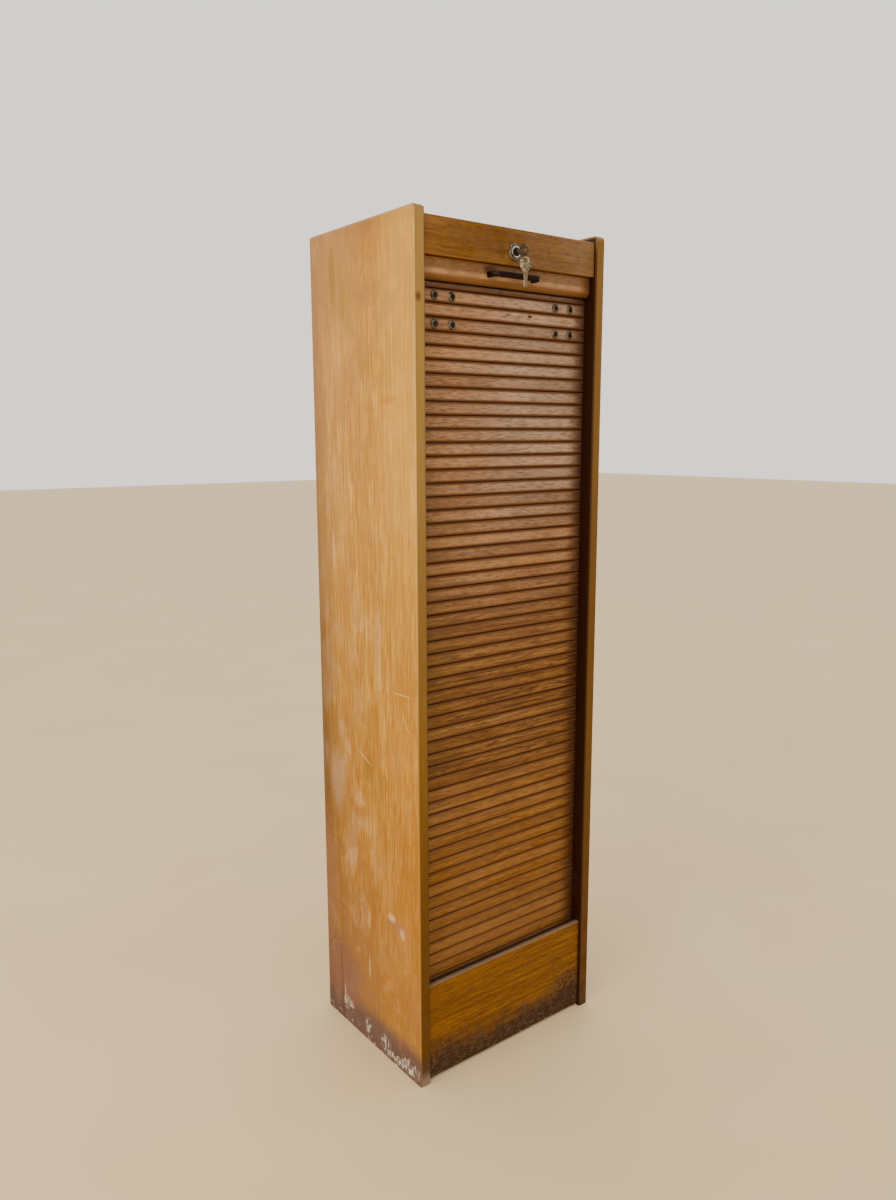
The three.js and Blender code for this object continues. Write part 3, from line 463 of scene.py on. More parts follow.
# A pale grey coat from the middle to the right is a painted reflection of the room in the varnish.
colour = paint(tree, colour, masks, """
    #7c5a3a 0.7 rail
    #8f6543 0.4 rail patch
    #5a3a22 0.35 rail near_handle patch
    #8e8674 0.15 bloom
    #4f2e10 0.4 dash
    #c49468 0.35 rail rubbed
    #cc9c70 0.35 rail rubbed patch
    #3c2009 0.88 rail low_front
    #3a1a0a 0.7 rail at_right
    #b88248 0.3 arris
    #36200f 0.75 by_handle
    #5c3808 0.6 by_lock
""")
connect(tree, shader, colour, height, 0.1 * mm, masks["patch"])
print(front_oak.name, "has", len(tree.nodes), "nodes")

# %% Stained oak of the plinth, with the dirt of the floor
plinth_oak, tree, shader, place = new_finish("stained_oak_dirty", Roughness=0.45, Specular_IOR_Level=0.15)
x, y, z = add(tree, "SeparateXYZ", {0: place}).node.outputs
colour, height = timber(
    tree, place, X, Y, (-60, 0, 120), ("#885612", "#734607", "#502e08"), spacing=5.0, rings=0.12, grain=0.8)
plinth_low, plinth_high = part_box("plinth")
plinth_face, plinth_top = plinth_low.y / mm, plinth_high.z / mm
masks = masks_of(tree, place, noises={
    "waves": (60, 5.0, 0.65), "specks": (5, 5.0, 0.7), "crusts": (2.8, 4.0, 0.7, 0.35, 1, 1),
}, soft={
    "speck": ("specks", 0.6, 0.66), "crust": ("crusts", 0.5, 0.6), "pit": ("crusts", 0.45, 0.37),
    # The next line finds the plinth's rounded top edge, painted grey-mauve as painted highlight with wear, and
    # the top face behind its front edge, painted near black as the shade of the gap behind it.
    "rim": (z, plinth_top - 2.4, plinth_top - 0.6), "behind": (y, plinth_face + 5, plinth_face + 9),
})
ragged_by = -110.0
tide = add(tree, "Math", {0: masks["waves"], 1: ragged_by, 2: z}, operation="MULTIPLY_ADD")
dirt = add(tree, "MapRange", {"Value": tide, "From Min": 20.0, "From Max": -35.0}, **SMOOTH)
for centre, reach in (((-140, 0), (95, 80)), ((150, 0), (85, 105))):
    dirt = add(tree, "Math", {0: dirt, 1: mark(tree, x, z, centre, reach, 1.0)}, operation="MAXIMUM")
masks["dirt"] = dirt
colour = paint(tree, colour, masks, """
    #33200f 0.92 dirt
    #68584c 0.5 dirt crust
    #613508 0.35 speck
    #4a2a08 0.5 pit
    #7d6a5a 0.7 rim
    #180e08 0.9 rim behind
""")
connect(tree, shader, colour, height, 0.12 * mm, dirt)
print(plinth_oak.name, "has", len(tree.nodes), "nodes")

# %% [markdown]
# ## The slats
#
# Every slat was ripped from another place in the plank, so its tone and its grain differ from its
# neighbours'. The slat's number is its distance down from the lead rail divided by the pitch, rounded down.
# A white noise turns that number into a tone and into a jump along the plank. Painted shade, with some grime,
# darkens the rounded arrises and a band on each side of the gaps, less so low down. Painted shade also lies
# deep in the gaps, under the lead rail and at the right ends, grime and painted shade at both ends, and a pale
# grey painted reflection on the upper slats.

# %% Slat oak: numbers, grain and masks
slat_oak, tree, shader, place = new_finish("slat_oak_oiled", Roughness=0.5, Specular_IOR_Level=0.22)
slat_low, slat_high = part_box("tambour_slat_1")
next_low, next_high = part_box("tambour_slat_2")
pitch = (slat_high.z - next_high.z) / mm
half_gap = 0.4
x, y, z = add(tree, "SeparateXYZ", {0: place}).node.outputs
from_rail = add(tree, "Math", {0: slat_high.z / mm + half_gap, 1: z}, operation="SUBTRACT")
down = add(tree, "Math", {0: from_rail, 1: pitch}, operation="DIVIDE")
number = add(tree, "Math", {0: down}, operation="FLOOR")
chance = add(tree, "TexWhiteNoise", {"W": number}, noise_dimensions="1D")
furthest_jump = (3000, 0, 400)
jump = add(tree, "VectorMath", {0: chance.node.outputs["Color"], 1: furthest_jump}, operation="MULTIPLY")
moved = add(tree, "VectorMath", {0: place, 1: jump}, operation="ADD")
colour, height = timber(
    tree, moved, X, Y, (0, 0, 0), ("#956932", "#7d501b", "#45250b"), spacing=4.0, rings=0.35, grain=1.2)
patches = add(tree, "TexNoise", {"Vector": place, "Scale": 1 / 90, "Detail": 3.0})
from_gap = add(tree, "Math", {0: down, 1: 0.5}, operation="PINGPONG")
facing = add(tree, "TexCoord").node.outputs["Normal"]
tipped = add(tree, "Math", {0: add(tree, "SeparateXYZ", {0: facing}).node.outputs["Z"]}, operation="ABSOLUTE")
# The slats darken at both ends, next to the sides, with grime and painted shade.
out = add(tree, "Math", {0: x}, operation="ABSOLUTE")
slat_face, rail_foot = slat_low.y / mm, rail_low.z / mm
masks = masks_of(tree, moved, noises={"dashes": (2.1, 3.0, 0.6, 0.13, 1, 1)}, soft={
    # The third mask on the next line gives the upper slats, from the middle to the right, a pale grey painted
    # reflection of the room.
    "upper": (z, 650, 1150), "lower": (z, 650, 200), "bloom": (z, 860, 1050), "off_foot": (z, 480, 620),
    # The last mask on the next line is a painted shadow that the lead rail casts on the slat under it.
    "at_foot": (z, 420, 220), "under_rail": (z, rail_foot - 14, rail_foot - 3),
    # The second mask on the next line lays painted shade on the right ends of the slats, by the right side.
    "at_end": (out, 166, 175), "at_right": (x, 138, 170), "at_left": (x, -50, -165), "off_left": (x, -110, 40),
    "patch": (patches, 0.42, 0.65), "dark_dash": ("dashes", 0.5, 0.62), "pale_dash": ("dashes", 0.46, 0.36),
    # The next line finds a band on each side of a gap and the rounded arrises; both are painted dark, as
    # painted shade with some grime.
    "grime": (from_gap, 0.24, 0.15), "arris": (tipped, 0.12, 0.62),
    # The next mask is what lies deeper than the slats' faces, painted dark as shade in the gaps.
    "sunk": (y, slat_face + 1.6, slat_face + 3.2),
}, straight={"dark_slat": (chance, 0.55, 1.0), "pale_slat": (chance, 0.35, 0.0)})
# The painted shade of the gaps and arrises is half as strong below 250 mm and full above 700 mm.
masks["wiped"] = add(
    tree, "MapRange", {"Value": z, "From Min": 250.0, "From Max": 700.0, "To Min": 0.5}, **SMOOTH)
next_foot = next_low.z / mm
masks["knot"] = mark(tree, x, z, (52, next_foot + 13), (7.5, 3.2))
masks["scratch"] = mark(tree, x, z, (4, next_foot + 12), (10, 1.6), 0.2, 0.5)
masks["scuff"] = mark(tree, x, z, (22, next_foot + 15), (16, 1.3))
print("pitch of the slats:", round(pitch, 2), "mm, masks:", len(masks))

# %% Slat oak: coats
colour = paint(tree, colour, masks, """
    #c49c80 0.5 upper patch
    #b3886b 0.55 upper
    #945c0c 0.5 lower
    #674703 0.4 at_left off_foot
    #98a09a 0.25 off_left bloom
    #5a3416 0.5 dark_dash
    #c6a283 0.3 pale_dash upper
    #a8733a 0.3 pale_dash lower
    #5c4028 0.3 at_foot
    #5f3a17 0.4 dark_slat
    #b5854e 0.2 pale_slat
    #1e0e05 0.9 knot
    #4a2610 0.85 scratch
    #d8b590 0.5 scuff
    #3f1e08 0.6 at_end
    #35180a 0.75 at_right
    #5f3814 0.8 grime wiped
    #583210 0.85 arris wiped
    #4a2008 0.6 sunk
    #3a1c0b 0.7 under_rail
""")
connect(tree, shader, colour, height, 0.1 * mm, masks["patch"])
print(slat_oak.name, "has", len(tree.nodes), "nodes")

# %% [markdown]
# ## Inside: bare oak, plywood and canvas
#
# The shelves were never varnished, so they are pale and dull. The back is birch plywood. The canvas is plain
# woven, with a thread about every 0.8 mm: two wave textures, one along each direction, give the threads.

# %% Bare oak, plywood and canvas
inside_oak, tree, shader, place = new_finish("bare_oak_planed", Roughness=0.62)
colour, height = timber(
    tree, place, X, Z, (0, -60, 0), ("#c39a66", "#a87c4a", "#7a5228"), spacing=10.0, rings=0.25)
masks = masks_of(tree, place, {"patches": (80, 3.0, 0.5)}, {"patch": ("patches", 0.45, 0.7)})
colour = paint(tree, colour, masks, "#7d5c3a 0.4 patch")
connect(tree, shader, colour, height, 0.1 * mm, masks["patch"])

plywood, tree, shader, place = new_finish("birch_plywood_sanded", Roughness=0.66)
x, y, z = add(tree, "SeparateXYZ", {0: place}).node.outputs
colour, height = timber(
    tree, place, Z, Y, (40, 0, 900), ("#b8905c", "#a27a48", "#7b5830"), spacing=16.0, rings=0.3)
masks = masks_of(
    tree, place, {"patches": (110, 4.0, 0.5)}, {"patch": ("patches", 0.42, 0.66), "damp": (z, 260, 20)})
colour = paint(tree, colour, masks, """
    #86653e 0.4 patch
    #5e452c 0.6 damp patch
""")
connect(tree, shader, colour, height, 0.1 * mm, masks["patch"])

canvas, tree, shader, place = new_finish("linen_canvas_woven", Roughness=0.95, Sheen_Weight=0.2)
thread = 0.8
threads = {"Vector": place, "Scale": WAVE / thread, "Distortion": 0.6}
across, along = [add(tree, "TexWave", threads, bands_direction=direction) for direction in "XZ"]
weave = add(tree, "Math", {0: across, 1: along}, operation="MAXIMUM")
colour = add(tree, "Mix", {"Factor": weave, "A": shade("#6d6047"), "B": shade("#a39575")}, data_type="RGBA")
masks = masks_of(tree, place, {"stains": (50, 3.0, 0.5)}, {"stain": ("stains", 0.4, 0.7)})
colour = paint(tree, colour, masks, "#6b5433 0.5 stain")
connect(tree, shader, colour, weave, 0.3 * mm)
print("inside finishes:", inside_oak.name, plywood.name, canvas.name)

# %% [markdown]
# ## Metals
#
# The handle is cast iron under black-brown stove enamel, chipped to a warmer brown on its edges. The lock is
# nickel plated: bright, with brownish tarnish where hands never rub. The rosette, the ring and the cup
# washers are steel that has lost most of its plating, the screws are blackened, and the keys are stamped
# from nickel silver. A metal has no diffuse colour, so its base colour tints the reflections. These four
# metals differ only in numbers, so one loop makes them. Zinc plate is crystalline, and a cell pattern gives
# its spangle.

# %% Enamel, plated steel and zinc
enamel, tree, shader, place = new_finish("stove_enamel_cast", Roughness=0.34, Specular_IOR_Level=0.06)
masks = masks_of(
    tree, place, {"grit": (2.2, 4.0, 0.5), "chips": (6, 3.0, 0.5)}, {"chip": ("chips", 0.5, 0.62)})
masks["arris"] = arris_of(tree)
colour = add(
    tree, "Mix", {"Factor": masks["grit"], "A": shade("#100603"), "B": shade("#221007")}, data_type="RGBA")
colour = paint(tree, colour, masks, "#463329 0.5 arris chip")
connect(tree, shader, colour, masks["grit"], 0.15 * mm, masks["chip"])

metals = []
for name, metallic, roughness, noise, start, full, clean, tarnished, depth in (
        ("nickel_plate_polished", 1.0, 0.18, (6, 2.0, 0.5), 0.5, 0.72, "#aea69a", "#6e6252", 0.01),
        ("plated_steel_worn", 0.85, 0.42, (2.5, 4.0, 0.5), 0.4, 0.64, "#7d7265", "#473c31", 0.03),
        ("steel_screw_blackened", 0.85, 0.4, (2, 3.0, 0.5), 0.42, 0.66, "#2f2822", "#15100c", 0.03),
        ("nickel_silver_stamped", 0.9, 0.34, (3, 5.0, 0.7), 0.4, 0.65, "#7c7059", "#453b2d", 0.01)):
    metal, tree, shader, place = new_finish(name, Metallic=metallic, Roughness=roughness)
    masks = masks_of(tree, place, {"spots": noise}, {"spot": ("spots", start, full)})
    ends = {"Factor": masks["spot"], "A": shade(clean), "B": shade(tarnished)}
    connect(tree, shader, add(tree, "Mix", ends, data_type="RGBA"), masks["spots"], depth * mm, masks["spot"])
    metals.append(metal)
bright_nickel, worn_plate, dark_screw, nickel_silver = metals

zinc, tree, shader, place = new_finish("zinc_plate_dull", Metallic=0.9, Roughness=0.45)
spangle = add(tree, "TexVoronoi", {"Vector": place, "Scale": 1 / 6})
colour = add(tree, "Mix", {"Factor": spangle, "A": shade("#8f8f8c"), "B": shade("#6f6d68")}, data_type="RGBA")
connect(tree, shader, colour, spangle, 0.02 * mm)
print("metals:", [finish.name for finish in (enamel, *metals, zinc)])

# %% [markdown]
# ## Tools of the bench
#
# Edit mode works on what is selected, so each step is the same: choose the parts of the mesh by a test, use
# an operator on them, and leave edit mode. A `with` block says this once, and `edges` makes the commonest
# test, which finds edges by their direction and place. A modifier is applied as soon as it is added, and a
# finished piece keeps its place in its mesh, with its origin at the origin of the world.


# %% Helpers for modelling
def only(piece):
    """Selects one piece and makes it the active one."""
    bpy.ops.object.select_all(action="DESELECT")
    piece.select_set(True)
    bpy.context.view_layer.objects.active = piece


def settle(piece):
    """Moves the piece's place, turn and size into its mesh."""
    only(piece)
    bpy.ops.object.transform_apply(location=True, rotation=True, scale=True)
    return piece


def started(name, primitive, **settings):
    """A new primitive with a name, and nothing else selected."""
    bpy.ops.object.select_all(action="DESELECT")
    primitive(**settings)
    bpy.context.object.name = name
    return bpy.context.object


def block(name, low, high):
    """A cube primitive stretched between two corners."""
    low, high = Vector(low), Vector(high)
    piece = started(name, bpy.ops.mesh.primitive_cube_add, size=1, location=(low + high) / 2)
    piece.scale = high - low
    return settle(piece)


def middle(part):
    """The middle of a face or an edge, or a vertex's own place."""
    corners = getattr(part, "verts", [part])
    return sum((corner.co for corner in corners), Vector()) / len(corners)


def edges(axis, **places):
    """A test for edges: they lie along the axis, and their middle is at the places given, such as z=0.1."""
    def test(edge):
        span = edge.verts[1].co - edge.verts[0].co
        off = [abs(getattr(middle(edge), name) - place) for name, place in places.items()]
        return abs(span[axis]) > 0.99 * span.length and max(off, default=0) < mm
    return test


@contextmanager
def editing(piece, kind, test=lambda part: True):
    """Edit mode, with the vertices, edges or faces selected that pass a test."""
    only(piece)
    bpy.ops.object.mode_set(mode="EDIT")
    bpy.ops.mesh.select_mode(type=kind)
    bpy.ops.mesh.select_all(action="DESELECT")
    form = bmesh.from_edit_mesh(piece.data)
    for part in {"VERT": form.verts, "EDGE": form.edges, "FACE": form.faces}[kind]:
        if test(part):
            part.select_set(True)
    form.select_flush_mode()
    bmesh.update_edit_mesh(piece.data)
    yield
    bpy.ops.object.mode_set(mode="OBJECT")


def modify(piece, kind, **settings):
    """Adds a modifier and applies it."""
    only(piece)
    step = piece.modifiers.new(kind.lower(), kind)
    for name, value in settings.items():
        setattr(step, name, value)
    bpy.ops.object.modifier_apply(modifier=step.name)


def combine(piece, tool, operation):
    """Cuts or intersects the piece with a tool, which is used up."""
    modify(piece, "BOOLEAN", object=tool, operation=operation, solver="EXACT")
    bpy.data.objects.remove(tool)


def round_off(piece, radius, segments, test):
    """Rounds the edges that pass a test."""
    with editing(piece, "EDGE", test):
        bpy.ops.mesh.bevel(offset=radius, segments=segments, affect="EDGES")


def face_outwards(piece):
    """Turns every face of a closed piece outwards."""
    with editing(piece, "FACE"):
        bpy.ops.mesh.normals_make_consistent(inside=False)


def smooth(piece, angle=30):
    """Shades a piece smooth, except over edges that turn by more than an angle in degrees."""
    only(piece)
    bpy.ops.object.shade_smooth_by_angle(angle=math.radians(angle))


def soften(piece, width, angle=40):
    """Bevels what is still a sharp edge, and shades the rest smooth."""
    modify(piece, "BEVEL", width=width, segments=2, limit_method="ANGLE", angle_limit=math.radians(angle))
    smooth(piece)


def pull(x=0.0, y=0.0, z=0.0):
    """Draws what is selected out along a straight line."""
    bpy.ops.mesh.extrude_region_move(TRANSFORM_OT_translate={"value": (x, y, z)})


def dress(piece, finish, body, slot, *replaced):
    """Gives a piece its finish, the body that it moves with, and the nodes that it stands for."""
    if finish is not None:
        piece.data.materials.clear()
        piece.data.materials.append(finish)
    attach(piece, body)
    if replaced:
        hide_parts(*replaced)
    print(piece.name, "rides on", body, "with", len(piece.data.polygons), "faces")
    return piece


def twin(piece, name):
    """A copy with a mesh of its own."""
    copy = piece.copy()
    copy.data = piece.data.copy()
    copy.name = name
    bpy.context.scene.collection.objects.link(copy)
    return copy


def join(pieces, name):
    """One piece made of several."""
    only(pieces[0])
    for piece in pieces:
        piece.select_set(True)
    bpy.ops.object.join()
    pieces[0].name = name
    return pieces[0]


def corners_of(piece):
    """The lowest and highest corner of a piece's box, in millimetres, to be printed."""
    places = [vertex.co / mm for vertex in piece.data.vertices]
    return [[round(pick(place[axis] for place in places), 1) for axis in (X, Y, Z)] for pick in (min, max)]


print("bench ready")

# %% [markdown]
# ## Round pieces and bent bars
#
# A washer, a screw or a rosette is turned on a lathe. The nearest thing by hand is a circle that is drawn
# out ring by ring: extrude it along the axis, then scale the new ring. A handle and a groove are the same
# section led round bends, so their section is extruded on the straights and spun through the bends.


# %% Helpers for turning and bending
def turned(name, profile, sides=48, centre=(0, 0, 0), hole=False):
    """A round piece with its axis along Y. The profile is radius and depth in mm, from front to back."""
    profile = [(radius * mm, depth * mm) for radius, depth in profile]
    radius, depth = profile[0]
    piece = started(
        name, bpy.ops.mesh.primitive_circle_add, vertices=sides, radius=radius, location=(0, depth, 0),
        rotation=(math.pi / 2, 0, 0), fill_type="NOTHING" if hole else "NGON")
    settle(piece)
    with editing(piece, "EDGE" if hole else "FACE"):
        for next_radius, next_depth in profile[1:]:
            pull(y=next_depth - depth)
            bpy.ops.transform.resize(value=(next_radius / radius,) * 3, center_override=(0, next_depth, 0))
            radius, depth = next_radius, next_depth
    with editing(piece, "VERT"):
        bpy.ops.mesh.remove_doubles(threshold=0.01 * mm)
    face_outwards(piece)
    piece.location = centre
    return settle(piece)


def section(name, centre, size, facing):
    """An open rectangle to be led along a path: a plane without its face. It looks along facing."""
    turn = {Y: (math.pi / 2, 0, 0), Z: (0, 0, 0)}[facing]
    piece = started(name, bpy.ops.mesh.primitive_plane_add, size=1, location=centre, rotation=turn)
    piece.scale = (*size, 1)
    settle(piece)
    with editing(piece, "FACE"):
        bpy.ops.mesh.delete(type="ONLY_FACE")
    return piece


def close_ends(piece):
    """Fills the two open ends of a led section, and turns all faces outwards."""
    with editing(piece, "EDGE"):
        bpy.ops.mesh.fill_holes(sides=0)
    face_outwards(piece)


print("lathe and bends ready")

# %% [markdown]
# ## The two sides
#
# A side is a 20 mm board with three kinds of rounding: the upper corners, the bullnosed top, and the small
# rounds up the front and back. Bevels of three sizes that meet in one corner make a knot of tiny faces.
# Instead, three blanks are rounded in one direction each, and the board is what all three share. Then the
# groove is cut, with a tool that is led down the front, round the bend, along the floor, round again and up
# the back, and the shelves' housings.

# %% The groove's shape, as a cutting tool
inner_face = side_high.x
back_low, back_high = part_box("back_panel")
top_low, top_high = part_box("top_board")
groove_width, groove_depth, bend_radius = 9.5 * mm, 7 * mm, 64 * mm
before_back, over_floor, over_rail, under_top = 4.3 * mm, 16.75 * mm, 4 * mm, 10 * mm
front_line = (slat_low.y + slat_high.y) / 2
back_line = back_low.y - before_back - groove_width / 2
bend_height = over_floor + bend_radius
groove_head = rail_high.z + over_rail
groove_tail = top_low.z - under_top
past = 5 * mm  # how far a cutting tool sticks out of what it cuts
tool_width = groove_depth + past
tool_x = inner_face - groove_depth + tool_width / 2
groove_tool = section("groove_tool", (tool_x, front_line, groove_head), (tool_width, groove_width), Z)
with editing(groove_tool, "EDGE"):
    pull(z=bend_height - groove_head)
    quarter = {"steps": 16, "angle": -math.pi / 2, "axis": (1, 0, 0)}
    bpy.ops.mesh.spin(center=(tool_x, front_line + bend_radius, bend_height), **quarter)
    pull(y=back_line - front_line - 2 * bend_radius)
    bpy.ops.mesh.spin(center=(tool_x, back_line - bend_radius, bend_height), **quarter)
    pull(z=groove_tail - bend_height)
close_ends(groove_tool)
print("groove tool from and to, in mm:", corners_of(groove_tool))

# %% The left side board
corner_round, top_round, front_round, back_round = 11 * mm, 6 * mm, 3 * mm, 6 * mm
left_side = block("side_left", side_low, side_high)
round_off(left_side, corner_round, 10, edges(X, z=side_high.z))
over = Vector((0, past, 0))
top_blank = block("top_blank", side_low - over, side_high + over)
round_off(top_blank, top_round, 10, edges(Y, z=side_high.z))
over = Vector((0, 0, past))
plan_blank = block("plan_blank", side_low - over, side_high + over)
round_off(plan_blank, front_round, 6, edges(Z, y=side_low.y))
round_off(plan_blank, back_round, 8, edges(Z, y=side_high.y, x=side_low.x))
combine(left_side, top_blank, "INTERSECT")
combine(left_side, plan_blank, "INTERSECT")
combine(left_side, groove_tool, "DIFFERENCE")
print("left side after the groove:", len(left_side.data.polygons), "faces")

# %% Housings for the shelves, the top and the backs
fit = 0.3 * mm  # the play round a fitted piece
shelves = ["floor_shelf"] + [f"shelf_{number}" for number in range(1, 6)]
for name in ["top_board", "floor_shelf", "inner_back_panel"] + shelves[1:]:
    low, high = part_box(name)
    low = Vector((max(low.x, side_low.x) - fit, low.y - fit, low.z - fit))
    high = Vector((inner_face + past, high.y + fit, high.z + fit))
    combine(left_side, block("housing", low, high), "DIFFERENCE")
rebate_low = (back_low.x - fit, back_low.y - fit, -past)
rebate_high = (inner_face + past, side_high.y + past, back_high.z + fit)
combine(left_side, block("rebate", rebate_low, rebate_high), "DIFFERENCE")
print("left side with its housings:", len(left_side.data.polygons), "faces")

# %% [markdown]
# The right side is the left one mirrored. A mirrored mesh is inside out, so its normals are worked out
# again. Only then are the chips along the floor cut, because no two sides are damaged alike. A chip is a
# small rough ball that bites into the lower edge, as a knock does.

# %% The right side, and chips along both feet
right_side = twin(left_side, "side_right")
right_side.scale = (-1, 1, 1)
settle(right_side)
face_outwards(right_side)
dice = random.Random(7)
chips = {left_side: [(272, 0, 3), (238, 0, 4), (119, 0, 4), (78, 0, 3), (21, 0, 3)],
         right_side: [(40, 0, 3), (131, 0, 4), (231, 0, 3), (290, 2, 4)]}
for side, places in chips.items():
    outer = math.copysign(side_low.x, middle(side.data.vertices[0]).x)
    for from_front, height, size in places:
        knock = started("knock", bpy.ops.mesh.primitive_ico_sphere_add, subdivisions=2, radius=size * mm)
        with editing(knock, "VERT"):
            bpy.ops.transform.vertex_random(offset=0.12 * size * mm, seed=dice.randrange(1000))
        knock.scale = (0.35, dice.uniform(0.8, 1.6), dice.uniform(0.4, 0.8))
        knock.location = (outer, front + from_front * mm, height * mm)
        settle(knock)
        combine(side, knock, "DIFFERENCE")
for side, node in ((left_side, "side_panel_left"), (right_side, "side_panel_right")):
    soften(side, 0.35 * mm, 50)
    dress(side, side_veneer, "root", "side_veneer", node)

# %% [markdown]
# ## Fascia, top and plinth
#
# Three plain boards, but never three plain cubes: their arrises are rounded by wear, the fascia has the hole
# for the lock, and the plinth's top edge is dented where feet and brooms have met it. The dents are made by
# cutting the edge into short lengths, then moving the corners a little at random, which no bevel would give.

# %% Fascia and top board
fascia_low, fascia_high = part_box("fascia")
lock_low, lock_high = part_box("lock_housing")
lock_x, lock_z = (lock_low.x + lock_high.x) / 2, (lock_low.z + lock_high.z) / 2
lock_radius = (lock_high.x - lock_low.x) / 2
fascia = block("fascia_board", fascia_low, fascia_high)
bore = (lock_radius + fit) / mm
hole = turned(
    "lock_hole", [(bore, (fascia_low.y - past) / mm), (bore, (fascia_high.y + past) / mm)], 48,
    (lock_x, 0, lock_z))
round_off(fascia, 1.4 * mm, 4, edges(X))
combine(fascia, hole, "DIFFERENCE")
soften(fascia, 0.4 * mm)
dress(fascia, front_oak, "root", "front_oak", "fascia")
top_board = block("top_board_planed", top_low, top_high)
round_off(top_board, 1.2 * mm, 3, edges(X))
soften(top_board, 0.4 * mm)
dress(top_board, front_oak, "root", "front_oak", "top_board")

# %% Plinth with a dented top edge
plinth = block("plinth_board", plinth_low, plinth_high)
with editing(plinth, "EDGE", edges(X)):
    bpy.ops.mesh.subdivide(number_cuts=47)
round_off(plinth, 1.8 * mm, 4, edges(X, z=plinth_high.z))


def along_top_front(vertex):
    """True on the rounded top edge in front, but not at its two ends."""
    x, y, z = vertex.co
    return z > plinth_high.z - 2 * mm and y < plinth_low.y + 2 * mm and abs(x) < plinth_high.x - 3 * mm


with editing(plinth, "VERT", along_top_front):
    bpy.ops.transform.vertex_random(offset=0.22 * mm, uniform=0.0, normal=0.0, seed=3)
soften(plinth, 0.4 * mm)
dress(plinth, plinth_oak, "root", "plinth_oak", "plinth")

# %% [markdown]
# ## Lead rail
#
# The rail at the head of the door is thicker than the slats, because it carries the handle and takes the
# push. Its lower front edge is rounded over. A tongue at each end, as thick as a slat, runs in the groove:
# the rail's end is split by a bisecting plane at the front of the slats, and the rear part is drawn out.

# %% Lead rail with tongues
rail_end = -inner_face - mm
rail = block("lead_rail_moulded", (-rail_end, rail_low.y, rail_low.z), (rail_end, rail_high.y, rail_high.z))
round_off(rail, 10 * mm, 12, edges(X, y=rail_low.y, z=rail_low.z))
round_off(rail, 1.5 * mm, 4, edges(X, z=rail_high.z))
with editing(rail, "FACE"):
    bpy.ops.mesh.bisect(plane_co=(0, slat_low.y, 0), plane_no=(0, 1, 0))
for side in (-1, 1):
    with editing(rail, "FACE", lambda face: face.normal.x * side > 0.9 and middle(face).y > slat_low.y):
        pull(x=side * (rail_high.x - rail_end))
soften(rail, 0.5 * mm)
dress(rail, front_oak, "tambour", "front_oak", "lead_rail")

# %% [markdown]
# ## Slats
#
# One slat is made, with its front arrises rounded, and copied. A row of perfect copies looks like a machine
# part, so each copy is tipped and shifted by a fraction of a millimetre, as slats on old canvas are. The
# first five are pieces of their own. The other fifty-four are joined with their canvas, because they go down
# together.

# %% One slat, and the five upper ones
slat_size = slat_high - slat_low
slat = block("slat", -slat_size / 2, slat_size / 2)
round_off(slat, 2.8 * mm, 5, edges(X, y=-slat_size.y / 2))
smooth(slat)
dice = random.Random(58)


def lay_slat(name, low, high):
    """A copy of the slat between two corners, tipped a little."""
    copy = twin(slat, name)
    copy.scale = (1, 1, (high.z - low.z) / slat_size.z)
    copy.location = (low + high) / 2 + Vector(
        (0, dice.uniform(-0.15, 0.1) * mm, dice.uniform(-0.12, 0.12) * mm))
    copy.rotation_euler = (math.radians(dice.uniform(-0.7, 0.7)), math.radians(dice.uniform(-0.03, 0.03)), 0)
    return settle(copy)


for number in range(5):
    node = f"tambour_slat_{number}"
    dress(lay_slat(f"slat_{number}", *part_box(node)), slat_oak, "tambour", "slat_oak", node)

# %% The long curtain of slats on its canvas
curtain_low, curtain_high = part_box("tambour_curtain")
gap = pitch * mm - slat_size.z
count = round((curtain_high.z - curtain_low.z + gap) / (pitch * mm))
slats = []
for number in range(count):
    top = curtain_high.z - number * pitch * mm
    low = Vector((slat_low.x, slat_low.y, top - slat_size.z))
    slats.append(lay_slat(f"curtain_slat_{number + 5}", low, low + slat_size))
    slats[-1].data.materials.append(slat_oak)
half_cloth = 173 * mm
cloth = block(
    "curtain_canvas", (-half_cloth, slat_high.y - fit, curtain_low.z + mm),
    (half_cloth, curtain_high.y, curtain_high.z))
cloth.data.materials.append(canvas)
curtain = join(slats + [cloth], "curtain")
dress(curtain, None, "tambour", "slat_oak", "tambour_curtain")
bpy.data.objects.remove(slat)
print("slats in the curtain:", count)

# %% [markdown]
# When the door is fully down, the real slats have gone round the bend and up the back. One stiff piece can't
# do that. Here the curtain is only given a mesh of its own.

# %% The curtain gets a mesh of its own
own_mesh(curtain)
print("the curtain closes up towards", round(curtain_high.z / mm, 1), "mm above the floor")

# %% [markdown]
# ## Handle
#
# A flat cast bow, held from behind by two screws. Its section is led from the left foot, round the corner,
# along the front and back to the right foot, then the long edges are rounded.

# %% Bow handle
bar_deep, bend, spans = 7 * mm, 11 * mm, 6
bar_high = grip_high.z - grip_low.z
grip_z = (grip_low.z + grip_high.z) / 2
bend_x, bend_y = grip_low.x + bend, grip_low.y + bend
handle = section("bow_handle", (grip_low.x + bar_deep / 2, grip_high.y, grip_z), (bar_deep, bar_high), Y)
with editing(handle, "EDGE"):
    pull(y=bend_y - grip_high.y)
    corner = {"steps": 8, "angle": -math.pi / 2, "axis": (0, 0, 1)}
    bpy.ops.mesh.spin(center=(bend_x, bend_y, grip_z), **corner)
    for step in range(spans):
        pull(x=-2 * bend_x / spans)
    bpy.ops.mesh.spin(center=(-bend_x, bend_y, grip_z), **corner)
    pull(y=grip_high.y - bend_y)
close_ends(handle)


